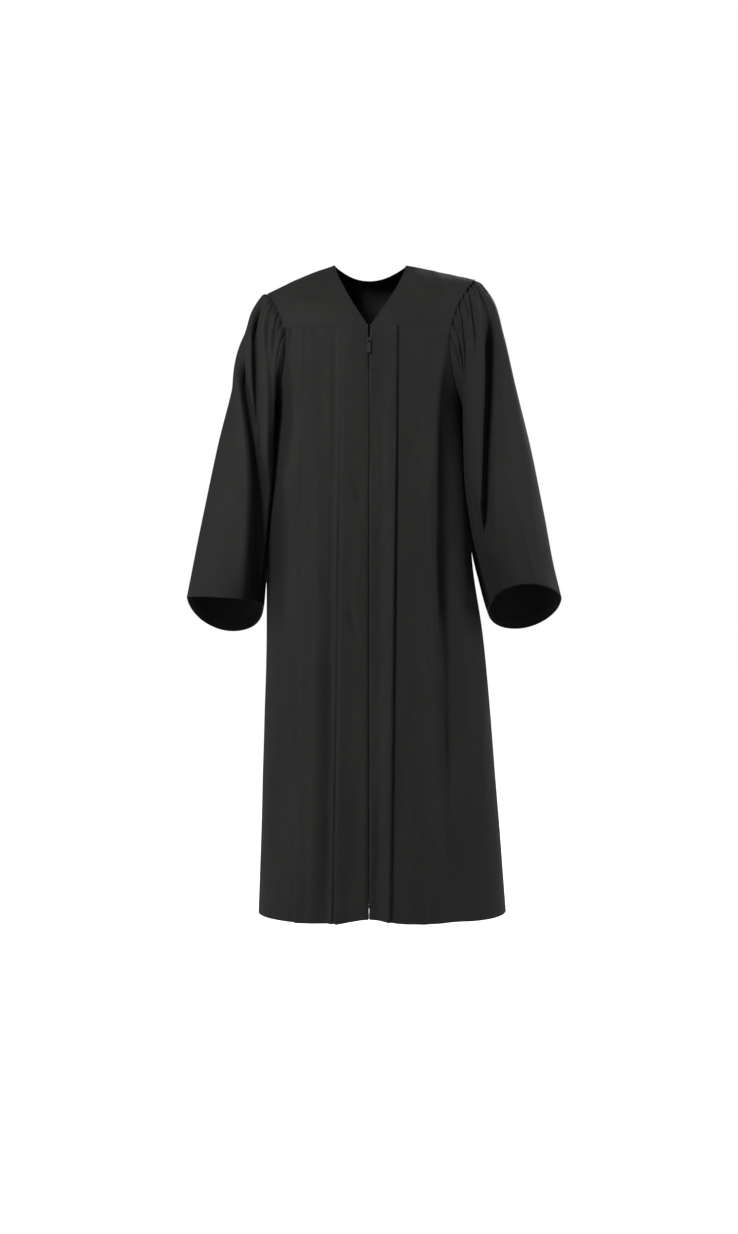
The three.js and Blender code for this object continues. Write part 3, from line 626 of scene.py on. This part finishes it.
SHOULDER_RISE = {"left": 0.5, "right": 4}
FRONT_ROUND = 9
BACK_ROUND = table("share rise", [(0, 0), (0.34, 22), (0.67, 31), (0.84, 19), (1, 10)])


def patch(bottom, top, first, last, u, v):
    """A surface between four edges: bottom and top run along u, first and last along v."""
    u1, v1 = u[..., None], v[..., None]
    zero, one = np.zeros_like(u), np.ones_like(u)
    surface = (1 - v1) * bottom(u) + v1 * top(u) + (1 - u1) * first(v) + u1 * last(v)
    surface -= (1 - u1) * (1 - v1) * bottom(zero) + u1 * (1 - v1) * bottom(one)
    surface -= (1 - u1) * v1 * top(zero) + u1 * v1 * top(one)
    return surface


def turned_edges(distances):
    """Height lost where an edge turns in at a seam."""
    return -SEAM_ROLL * sum(np.exp(-((distance / SEAM_REACH) ** 2)) for distance in distances)


def raised(rows, height):
    """Moves a grid of points out along its own normals."""
    return rows + grid_normals(rows) * np.asarray(height)[..., None]


def edge_places(count, near=0.012):
    """From 0 to 1, with a few places close to both ends."""
    close = np.array([0, 0.15, 0.35, 0.6, 1]) * near
    return np.concatenate([close[:-1], np.linspace(near, 1 - near, count), (1 - close[:-1])[::-1]])


YOKE_LAP = 3.0


def front_yoke_grid(side):
    u, v = np.meshgrid(edge_places(64), edge_places(46)[::-1])
    bottom = lambda share: plain_point(side, 1, share, np.full_like(share, YOKE_DOWN))
    top = lambda share: shoulder_point(side, share)
    rows = patch(bottom, top, lambda t: neck_edge(side, t), lambda t: yoke_armhole(side, 1, t), u, v)
    rise = FRONT_ROUND * np.sin(math.pi * u) * np.sin(math.pi * v)
    rows = rows + rise[..., None] * np.array([0, -0.7, 0.7])
    if side < 0:
        rows = rows[:, ::-1]
        u, v = u[:, ::-1], v[:, ::-1]
    wide, tall = 165, 150
    height = turned_edges([(1 - u) * wide])
    height = height + 1.0 * smoothstep(0, 1, 1 - v) + 0.5 * ripple(u * wide, v * tall, 46, 90, 51 + side)
    rows = raised(rows, height)
    return lap_under(rows, v)


def lap_under(rows, v):
    """The yoke's lower edge laps a little over the panel, outside it."""
    rows = rows.copy()
    rows[..., 2] -= YOKE_LAP * (1 - smoothstep(0, 0.06, v))
    return rows


def back_yoke_grid():
    neck_from, neck_to = 1 / 3, 2 / 3
    u, v = np.meshgrid(edge_places(150, 0.006), edge_places(46)[::-1])

    def bottom(u):
        share = np.abs(2 * u - 1)
        left = plain_point(1, -1, share, seam_down(-1, share))
        right = plain_point(-1, -1, share, seam_down(-1, share))
        return np.where((u < 0.5)[..., None], right, left)

    def top(u):
        right = shoulder_point(-1, np.clip(1 - u / neck_from, 0, 1))
        left = shoulder_point(1, np.clip((u - neck_to) / (1 - neck_to), 0, 1))
        angle = np.clip((u - neck_from) / (neck_to - neck_from), 0, 1) * math.pi
        scoop = np.sin(angle)
        reach = np.where(angle < math.pi / 2, neck_point(-1)[0], neck_point(1)[0])
        y = NECK["y"] + (NECK["backY"] - NECK["y"]) * scoop
        neck = stack(np.abs(np.cos(angle)) * reach, y, -NECK["backDown"] * scoop**2)
        on_neck = ((u > neck_from) & (u < neck_to))[..., None]
        return np.where(on_neck, neck, np.where((u <= neck_from)[..., None], right, left))

    rows = patch(bottom, top, lambda t: yoke_armhole(-1, -1, t), lambda t: yoke_armhole(1, -1, t), u, v)
    rise = read(BACK_ROUND, "share", "rise", 1 - np.abs(2 * u - 1)) * np.sin(math.pi * v)
    rows = rows + rise[..., None] * np.array([0, 0.9, 0.45])
    wide, tall = 400, 150
    height = turned_edges([u * wide, (1 - u) * wide])
    height = height + 1.0 * smoothstep(0, 1, 1 - v) + 0.5 * ripple(u * wide, v * tall, 60, 90, 61)
    return lap_under(raised(rows, height), v)


# Sleeves

def body_side_x(side, y, down):
    """Distance from the centre line to the side of the body at a depth and a height."""
    power = 2 / SQUARENESS
    result = np.zeros(np.broadcast(y, down).shape)
    for half in (1, -1):
        edge_x, edge_y, _ = panel_edge(side, half, down)
        centre_y = -half * read(BODY, "down", "front" if half > 0 else "back", down)
        fall = np.clip((y - centre_y) / (edge_y - centre_y), 0, 1)
        angle = np.arccos(np.clip((1 - fall) ** (1 / power), -1, 1))
        here = (y < SIDE_Y) if half > 0 else (y >= SIDE_Y)
        result = np.where(here, edge_x * np.sin(angle) ** power, result)
    return result


STATIONS = np.array([0, 1 / 3, 2 / 3, 1])


def flank_height(creases, degrees, run):
    """Sum of folds whose two flanks differ: each along its own line and fading at both ends."""
    total = 0
    for run0, run1, *places, before, after, spread, high in creases:
        t = (run - run0) / (run1 - run0)
        kept = np.clip(t, 0, 1)
        line = read({"t": STATIONS, "place": np.array(places, float)}, "t", "place", kept)
        away = degrees - line
        reach = np.where(away < 0, before, after * lerp(1, spread, kept))
        fade = smoothstep(-0.08, 0.2, t) * (1 - smoothstep(0.75, 1.05, t))
        total = total + high * fade * np.exp(-((away / reach) ** 2))
    return total


def gather_height(side, degrees, run):
    total = 0
    for angle, lean, length, wide, high in GATHERS["back"] + GATHERS[side_name(side)]:
        line = angle + lean * (run / length) ** 0.8 + 1.3 * np.sin(run / 19 + 1.7 * angle)
        spread = wide * (1 + 0.8 * run / length)
        fade = (0.6 + 0.4 * smoothstep(0, 10, run)) * (1 - smoothstep(0.3, 1.0, run / length))
        total = total - high * fade * np.exp(-(((degrees - line) / spread) ** 2))
    return total


def sleeve_height(side, degrees, run):
    near = 1 - smoothstep(70, 118, np.abs(degrees))
    height = gather_height(side, degrees, run)
    height = height + 2.4 * near * smoothstep(1, 10, run) * (1 - smoothstep(60, 180, run))
    round_trip = np.radians(degrees)
    uneven = 0.8 * ripple(np.cos(round_trip) * 90, run, 120, 420, 71 + side)
    uneven = uneven + 0.7 * ripple(np.sin(round_trip) * 90, run, 90, 300, 81 + side)
    height = height + uneven * smoothstep(20, 120, run)
    return height + turned_edges([run])


def sleeve_point(side, degrees, run):
    angle = np.radians(degrees)
    ring = sleeve_ring(side, run)
    step = 0.02
    around = ring_point(ring, side, angle + step) - ring_point(ring, side, angle - step)
    ahead = np.minimum(run + 4, SLEEVE_LENGTH)
    along = ring_point(sleeve_ring(side, ahead), side, angle)
    along = along - ring_point(sleeve_ring(side, ahead - 4), side, angle)
    outward = unit(np.cross(around, along)) * side
    turned = smoothstep(8, 34, np.abs(degrees)) * (1 - smoothstep(145, 172, np.abs(degrees)))
    falls = unit(lerp(outward, stack(0 * angle, -np.sign(degrees), 0 * angle), 0.9 * turned[..., None]))
    folds = flank_height(SLEEVE_CREASES[side_name(side)], degrees, run)
    point = ring_point(ring, side, angle) + outward * sleeve_height(side, degrees, run)[..., None]
    point = point + falls * folds[..., None]
    low = ((1 - np.cos(angle)) / 2) ** 3
    x = side * point[..., 0] + lerp(SLEEVE_SET["top"], SLEEVE_SET["underarm"], low)
    down = -point[..., 2]
    below = down - armhole(side)["innerDown"]
    clear = lerp(SLEEVE_SET["underarm"], SLEEVE_CLEAR, smoothstep(0, 40, below))
    ease = SLEEVE_EASE * smoothstep(0, 60, below)
    limit = body_side_x(side, point[..., 1], down) + clear
    kept = (x + limit + np.hypot(x - limit, ease)) / 2
    point[..., 0] = side * np.where((below > 0) & (run > 0), kept, x)
    return point


def sleeve_grid(side):
    cap = np.concatenate([np.linspace(-112, -4, 100), np.linspace(-4, 112, 184)[1:]])
    under = np.concatenate([np.linspace(112, 170, 58), np.linspace(170, 248, 24)[1:]])[1:-1]
    degrees = np.concatenate([cap, np.where(under > 180, under - 360, under)])
    runs = np.concatenate([
        [0, 1, 2, 3.2, 5, 8, 12],
        np.linspace(16, SLEEVE_LENGTH - 6, 104),
        [SLEEVE_LENGTH - 3, SLEEVE_LENGTH],
    ])
    rows = sleeve_point(side, degrees[None, :], runs[:, None])
    angle = np.radians(degrees)
    seam = ring_point(sleeve_ring(side, 0), side, angle)
    along = unit(ring_point(sleeve_ring(side, 14), side, angle) - seam)
    around = np.roll(seam, -1, axis=0) - np.roll(seam, 1, axis=0)
    outward = unit(np.cross(around, along)) * side
    first = rows[0]
    allowance = [first - along * far - outward * deep for far, deep in SLEEVE_ALLOWANCE]
    return np.concatenate([allowance, rows])


# Materials

def node(tree, kind, **values):
    made = tree.nodes.new(kind)
    for name, value in values.items():
        if hasattr(made, name):
            setattr(made, name, value)
        else:
            made.inputs[name.replace("_", " ")].default_value = value
    return made


def cloth_material(name, dark, light, roughness, sheen, weave_pitch, weave_depth):
    material = bpy.data.materials.new(name)
    material.use_nodes = True
    tree = material.node_tree
    link = tree.links.new
    shader = tree.nodes["Principled BSDF"]
    shader.inputs["Roughness"].default_value = roughness
    shader.inputs["Specular IOR Level"].default_value = 0.12
    shader.inputs["Sheen Weight"].default_value = sheen
    shader.inputs["Sheen Roughness"].default_value = 0.45
    shader.inputs["Sheen Tint"].default_value = (0.62, 0.62, 0.60, 1)
    uv = node(tree, "ShaderNodeUVMap", uv_map="cloth")
    split = node(tree, "ShaderNodeSeparateXYZ")
    link(uv.outputs["UV"], split.inputs[0])
    threads = []
    for axis in ("X", "Y"):
        turns = node(tree, "ShaderNodeMath", operation="MULTIPLY")
        turns.inputs[1].default_value = 2 * math.pi / weave_pitch
        link(split.outputs[axis], turns.inputs[0])
        wave = node(tree, "ShaderNodeMath", operation="SINE")
        link(turns.outputs[0], wave.inputs[0])
        threads.append(wave)
    weave = node(tree, "ShaderNodeMath", operation="MULTIPLY")
    link(threads[0].outputs[0], weave.inputs[0])
    link(threads[1].outputs[0], weave.inputs[1])
    place = node(tree, "ShaderNodeTexCoord")
    stretch = node(tree, "ShaderNodeMapping")
    stretch.inputs["Scale"].default_value = (1, 1, 0.25)
    link(place.outputs["Object"], stretch.inputs["Vector"])
    cloud = node(tree, "ShaderNodeTexNoise", Scale=16.0, Detail=4.0, Roughness=0.6)
    link(stretch.outputs[0], cloud.inputs["Vector"])
    slub = node(tree, "ShaderNodeTexNoise", Scale=420.0, Detail=2.0)
    link(stretch.outputs[0], slub.inputs["Vector"])
    mixed = node(tree, "ShaderNodeMath", operation="MULTIPLY_ADD")
    mixed.inputs[1].default_value = 0.35
    link(slub.outputs["Fac"], mixed.inputs[0])
    link(cloud.outputs["Fac"], mixed.inputs[2])
    ramp = node(tree, "ShaderNodeValToRGB")
    ramp.color_ramp.elements[0].position = 0.35
    ramp.color_ramp.elements[0].color = (*dark, 1)
    ramp.color_ramp.elements[1].position = 0.95
    ramp.color_ramp.elements[1].color = (*light, 1)
    link(mixed.outputs[0], ramp.inputs["Fac"])
    link(ramp.outputs["Color"], shader.inputs["Base Color"])
    fine = node(tree, "ShaderNodeBump", Strength=0.35, Distance=weave_depth)
    link(weave.outputs[0], fine.inputs["Height"])
    soft = node(tree, "ShaderNodeBump", Strength=0.25, Distance=0.0006)
    link(slub.outputs["Fac"], soft.inputs["Height"])
    link(fine.outputs["Normal"], soft.inputs["Normal"])
    link(soft.outputs["Normal"], shader.inputs["Normal"])
    return material


def hard_material(name, color, roughness, metallic, grain):
    material = bpy.data.materials.new(name)
    material.use_nodes = True
    tree = material.node_tree
    shader = tree.nodes["Principled BSDF"]
    shader.inputs["Metallic"].default_value = metallic
    place = node(tree, "ShaderNodeTexCoord")
    noise = node(tree, "ShaderNodeTexNoise", Scale=grain, Detail=3.0)
    tree.links.new(place.outputs["Object"], noise.inputs["Vector"])
    tint = node(tree, "ShaderNodeValToRGB")
    tint.color_ramp.elements[0].color = (*[c * 0.8 for c in color], 1)
    tint.color_ramp.elements[1].color = (*[c * 1.3 for c in color], 1)
    tree.links.new(noise.outputs["Fac"], tint.inputs["Fac"])
    tree.links.new(tint.outputs["Color"], shader.inputs["Base Color"])
    rough = node(tree, "ShaderNodeMapRange", To_Min=roughness * 0.85, To_Max=roughness * 1.2)
    tree.links.new(noise.outputs["Fac"], rough.inputs["Value"])
    tree.links.new(rough.outputs["Result"], shader.inputs["Roughness"])
    bump = node(tree, "ShaderNodeBump", Strength=0.15, Distance=0.0002)
    tree.links.new(noise.outputs["Fac"], bump.inputs["Height"])
    tree.links.new(bump.outputs["Normal"], shader.inputs["Normal"])
    return material


GOWN_CLOTH = cloth_material(
    "gown_cloth", dark=(0.017, 0.017, 0.0163), light=(0.025, 0.025, 0.0238),
    roughness=0.7, sheen=0.035, weave_pitch=0.0011, weave_depth=0.00016,
)
TAPE_CLOTH = cloth_material(
    "zip_tape_cloth", dark=(0.014, 0.014, 0.014), light=(0.022, 0.022, 0.022),
    roughness=0.85, sheen=0.1, weave_pitch=0.0013, weave_depth=0.0002,
)
THREAD = cloth_material(
    "sewing_thread", dark=(0.013, 0.013, 0.013), light=(0.02, 0.02, 0.02),
    roughness=0.6, sheen=0.05, weave_pitch=0.0004, weave_depth=0.0001,
)
COIL = hard_material("zip_coil_nylon", (0.006, 0.006, 0.006), 0.75, 0.0, 900)
ENAMEL = hard_material("zip_enamel", (0.008, 0.008, 0.0085), 0.42, 0.1, 600)


def finish_piece(piece, material, body="gown"):
    piece.data.materials.clear()
    piece.data.materials.append(material)
    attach(piece, body)
    return piece


# Sewing and the zip

def rods(name, centres, along, up, half, radius, flat=1.0, sides=6):
    """Many small round-ended rods as one mesh: each has its centre and its direction."""
    side = unit(np.cross(along, up))
    turn = np.linspace(0, 2 * math.pi, sides, endpoint=False)
    rings = []
    for reach, wide in ((-1, 0.45), (-0.72, 1), (0.72, 1), (1, 0.45)):
        ring = (centres + along * half * reach)[:, None, :]
        ring = ring + side[:, None, :] * (np.cos(turn) * radius * wide)[None, :, None]
        ring = ring + up[:, None, :] * (np.sin(turn) * radius * wide * flat)[None, :, None]
        rings.append(ring)
    vertices = np.stack(rings, axis=1)
    index = np.arange(vertices[..., 0].size).reshape(vertices.shape[:3])
    after = np.roll(index, -1, axis=2)
    quads = np.stack([index[:, :-1], index[:, 1:], after[:, 1:], after[:, :-1]], axis=-1).reshape(-1, 4)
    faces = quads.tolist() + index[:, 0].tolist() + index[:, -1, ::-1].tolist()
    mesh = bpy.data.meshes.new(name)
    mesh.from_pydata((vertices.reshape(-1, 3) * MM).tolist(), [], faces)
    layer = mesh.uv_layers.new(name="cloth")
    corners = np.empty(len(mesh.loops), dtype=int)
    mesh.loops.foreach_get("vertex_index", corners)
    flat_points = vertices.reshape(-1, 3)[corners] * MM
    layer.data.foreach_set("uv", flat_points[:, [0, 2]].ravel())
    mesh.polygons.foreach_set("use_smooth", [True] * len(mesh.polygons))
    mesh.update()
    piece = bpy.data.objects.new(name, mesh)
    bpy.context.scene.collection.objects.link(piece)
    return piece


STITCH_PITCH = 3.3
STITCH_HALF = 1.2
STITCH_RADIUS = 0.28

sewn = []


def sew(points, normals, closed=False):
    """Keeps the places of the stitches along a line on the cloth's outer face."""
    points = points + normals * (CLOTH / 2 + 0.1)
    if closed:
        points = np.concatenate([points, points[:1]])
        normals = np.concatenate([normals, normals[:1]])
    along = np.concatenate([[0], np.cumsum(np.linalg.norm(np.diff(points, axis=0), axis=1))])
    at = np.arange(STITCH_PITCH, along[-1] - STITCH_PITCH / 2, STITCH_PITCH)

    def sample(values, places):
        return np.stack([np.interp(places, along, values[:, i]) for i in range(3)], axis=1)

    centres = sample(points, at)
    direction = unit(sample(points, at + 0.6) - sample(points, at - 0.6))
    sewn.append((centres, direction, unit(sample(normals, at))))


def sew_row(rows, normals, far, closed=False, part=slice(None), first=False):
    """A line of stitches along the last row's edge, or the first's, this far from it."""
    steps = np.linalg.norm(np.diff(rows, axis=0), axis=2).mean(axis=1)
    run = np.concatenate([[0], np.cumsum(steps)])
    at = np.interp(far if first else run[-1] - far, run, np.arange(len(run)))
    low, t = int(at), at - int(at)
    line = lerp(rows[low], rows[low + 1], t)
    sew(line[part], normals[low][part], closed)


def sew_column(rows, normals, far, part=slice(None), last=False):
    """A line of stitches along the first column, or the last, this far from it."""
    if last:
        rows, normals = rows[:, ::-1], normals[:, ::-1]
    run = np.cumsum(np.linalg.norm(np.diff(rows, axis=1), axis=2), axis=1)
    line, facing = [], []
    for points, normal, reach in zip(rows, normals, run):
        reach = np.concatenate([[0], reach])
        line.append([np.interp(far, reach, points[:, i]) for i in range(3)])
        facing.append(normal[min(np.searchsorted(reach, far), len(normal) - 1)])
    sew(np.array(line)[part], np.array(facing)[part])


# The zip's coil and tapes, the turned hem, and the points that the cloth's outer faces look away from
COIL_PITCH = 1.5
COIL_BEHIND = 1.35
TAPE_INNER = 2.0
TAPE_OUTER = 16
TAPE_BEHIND = 1.15
TAPE = 0.6
HEM = 20
HUB = (0, 10, -500)
YOKE_HUB = (0, 10, -200)


def zip_line(down, behind=0.0):
    """The zip's middle, as the fronts' inner edges carry it."""
    down = np.asarray(down, float)
    return stack(0 * down, behind - read(BODY, "down", "front", down), -down)


def zip_coil():
    downs = np.arange(ZIP_START + 0.6, ZIP_END - 0.4, COIL_PITCH / 2)
    centres = zip_line(downs, COIL_BEHIND)
    swing = np.where(np.arange(len(downs)) % 2 == 0, 0.35, -0.35)
    centres[:, 0] += swing
    tilt = unit(stack(np.ones_like(downs), 0 * downs, 0.16 * np.sign(swing)))
    front = unit(np.cross(tilt, np.gradient(zip_line(downs), axis=0)))
    return rods("zip_coil", centres, tilt, front, 1.9, 0.42, 0.9, 6)


def zip_tape(side):
    downs = np.concatenate([[ZIP_START], np.arange(ZIP_START + 4, ZIP_END, 6.0), [ZIP_END]])
    reach = np.array([TAPE_INNER, 3.4, 5, 7, 9, 11, 13, 15, TAPE_OUTER - 0.4, TAPE_OUTER])
    share = np.stack([share_at(side, 1, reach, np.full_like(reach, down)) for down in downs])
    rows = body_point(side, 1, share, np.broadcast_to(downs[:, None], share.shape))
    rows = rows - outward(rows, hub=HUB) * TAPE_BEHIND
    rows[:, 0] = zip_line(downs, TAPE_BEHIND) + np.array([side * TAPE_INNER, 0, 0])
    return rows


# The cloth pieces

for side in (1, -1):
    name = side_name(side)
    rows = panel_grid(side, 1)
    front = finish_piece(wall(f"front_{name}_cloth", rows, hub=HUB, hem=HEM), GOWN_CLOTH)
    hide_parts(f"front_{name}")
    facing = outward(rows, hub=HUB)
    sew_row(rows, facing, HEM - 2)
    sew_column(rows, facing, 7)

    rows = front_yoke_grid(side)
    yoke = finish_piece(wall(f"front_yoke_{name}_cloth", rows, hub=YOKE_HUB), GOWN_CLOTH)
    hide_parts(f"front_yoke_{name}")
    facing = outward(rows, hub=YOKE_HUB)
    sew_row(rows, facing, 2.2)
    sew_column(rows, facing, 3.5, last=side < 0)

    rows = sleeve_grid(side)
    sleeve = finish_piece(wall(f"sleeve_{name}_cloth", rows, closed=True, hem=HEM), GOWN_CLOTH)
    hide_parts(f"sleeve_{name}")
    sew_row(rows, outward(rows, True), HEM - 2, closed=True)

    tape = finish_piece(wall(f"zip_tape_{name}_cloth", zip_tape(side), TAPE, hub=HUB), TAPE_CLOTH)
    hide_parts(f"zip_tape_{name}")

right_half = panel_grid(-1, -1)
left_half = panel_grid(1, -1)
back_rows = np.concatenate([right_half[:, ::-1], left_half[:, 1:]], axis=1)
back = finish_piece(wall("back_cloth", back_rows, hub=HUB, hem=HEM), GOWN_CLOTH)
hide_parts("back")
sew_row(back_rows, outward(back_rows, hub=HUB), HEM - 2)
yoke_rows = back_yoke_grid()
back_yoke = finish_piece(wall("back_yoke_cloth", yoke_rows, hub=YOKE_HUB), GOWN_CLOTH)
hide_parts("back_yoke")
facing = outward(yoke_rows, hub=YOKE_HUB)
sew_row(yoke_rows, facing, 2.2)
third = yoke_rows.shape[1] // 3
sew_row(yoke_rows, facing, 3.5, part=slice(third + 4, 2 * third - 4), first=True)

centres, directions, facings = (np.concatenate(parts) for parts in zip(*sewn))
stitches = rods("stitching", centres, directions, facings, STITCH_HALF, STITCH_RADIUS, 0.6, 5)
finish_piece(stitches, THREAD)

coil = finish_piece(zip_coil(), COIL)
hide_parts("zip_chain")

for node_name, material in [("zip_stop", COIL), ("zip_slider", ENAMEL), ("zip_pull", ENAMEL)]:
    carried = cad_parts[node_name]
    carried.data.materials.clear()
    carried.data.materials.append(material)


# Floor, light and camera

PHOTO_TALL = 1234
PIXEL = 1.96 * MM
CAMERA_FAR = 5.0
HORIZON_ROW = 519
SHOULDER_ROW = 265
SOLE_ROW = 1030
eye_height = (SHOULDER_ROW - HORIZON_ROW) * PIXEL
floor_height = (SHOULDER_ROW - SOLE_ROW) * PIXEL


def plain_material(name, color, roughness):
    material = bpy.data.materials.new(name)
    material.use_nodes = True
    shader = material.node_tree.nodes["Principled BSDF"]
    shader.inputs["Base Color"].default_value = (*color, 1)
    shader.inputs["Roughness"].default_value = roughness
    shader.inputs["Specular IOR Level"].default_value = 0.2
    return material


def floor_material():
    """Pale floor, brighter to the camera so that it runs into the white behind it."""
    material = plain_material("pale_floor", (0.6, 0.6, 0.6), 0.9)
    tree = material.node_tree
    shader = tree.nodes["Principled BSDF"]
    shader.inputs["Emission Color"].default_value = (1, 1, 1, 1)
    rays = node(tree, "ShaderNodeLightPath")
    level = node(tree, "ShaderNodeMath", operation="MULTIPLY")
    level.inputs[1].default_value = 1.0
    tree.links.new(rays.outputs["Is Camera Ray"], level.inputs[0])
    tree.links.new(level.outputs[0], shader.inputs["Emission Strength"])
    return material


floor_mesh = bpy.data.meshes.new("floor")
floor_mesh.from_pydata([(-12, -12, 0), (12, -12, 0), (12, 12, 0), (-12, 12, 0)], [], [(0, 1, 2, 3)])
floor = bpy.data.objects.new("floor", floor_mesh)
floor.location.z = floor_height
floor_mesh.materials.append(floor_material())
bpy.context.scene.collection.objects.link(floor)


def area_light(name, place, aim, wide, tall, watts):
    light = bpy.data.lights.new(name, "AREA")
    light.shape = "RECTANGLE"
    light.size, light.size_y = wide, tall
    light.energy = watts
    lamp = bpy.data.objects.new(name, light)
    lamp.location = place
    direction = np.array(aim, float) - np.array(place, float)
    lamp.rotation_mode = "QUATERNION"
    lamp.rotation_quaternion = Vector(direction).to_track_quat("-Z", "Y")
    bpy.context.scene.collection.objects.link(lamp)
    return lamp


area_light("key", (-1.8, -3.0, 1.9), (0, 0, -0.4), 0.9, 1.2, 132)
area_light("left", (-2.9, -0.5, 0.4), (-0.2, 0, -0.5), 0.5, 1.4, 22)
area_light("right", (2.9, -0.35, 0.7), (0.2, 0, -0.5), 0.5, 1.3, 46)
area_light("behind", (1.8, 3.6, 1.5), (0, 0, -0.45), 1.2, 1.2, 95)

world = bpy.data.worlds.new("studio")
bpy.context.scene.world = world
world.use_nodes = True
world_tree = world.node_tree
seen = world_tree.nodes["Background"]
seen.inputs["Color"].default_value = (1, 1, 1, 1)
seen.inputs["Strength"].default_value = 1.0
ambient = node(world_tree, "ShaderNodeBackground", Color=(1, 1, 1, 1), Strength=0.09)
rays = node(world_tree, "ShaderNodeLightPath")
choice = node(world_tree, "ShaderNodeMixShader")
world_tree.links.new(rays.outputs["Is Camera Ray"], choice.inputs["Fac"])
world_tree.links.new(ambient.outputs[0], choice.inputs[1])
world_tree.links.new(seen.outputs[0], choice.inputs[2])
world_tree.links.new(choice.outputs[0], world_tree.nodes["World Output"].inputs["Surface"])

camera_data = bpy.data.cameras.new("camera")
camera = bpy.data.objects.new("camera", camera_data)
camera.location = (0, -CAMERA_FAR, eye_height)
camera.rotation_euler = (math.pi / 2, 0, 0)
camera_data.sensor_width = 36
camera_data.lens = camera_data.sensor_width * CAMERA_FAR / (PHOTO_TALL * PIXEL)
camera_data.shift_y = (HORIZON_ROW - PHOTO_TALL / 2) / PHOTO_TALL
camera_data.clip_end = 60
bpy.context.scene.collection.objects.link(camera)
bpy.context.scene.camera = camera
bpy.context.scene.view_settings.view_transform = "Standard"

bpy.context.view_layer.update()
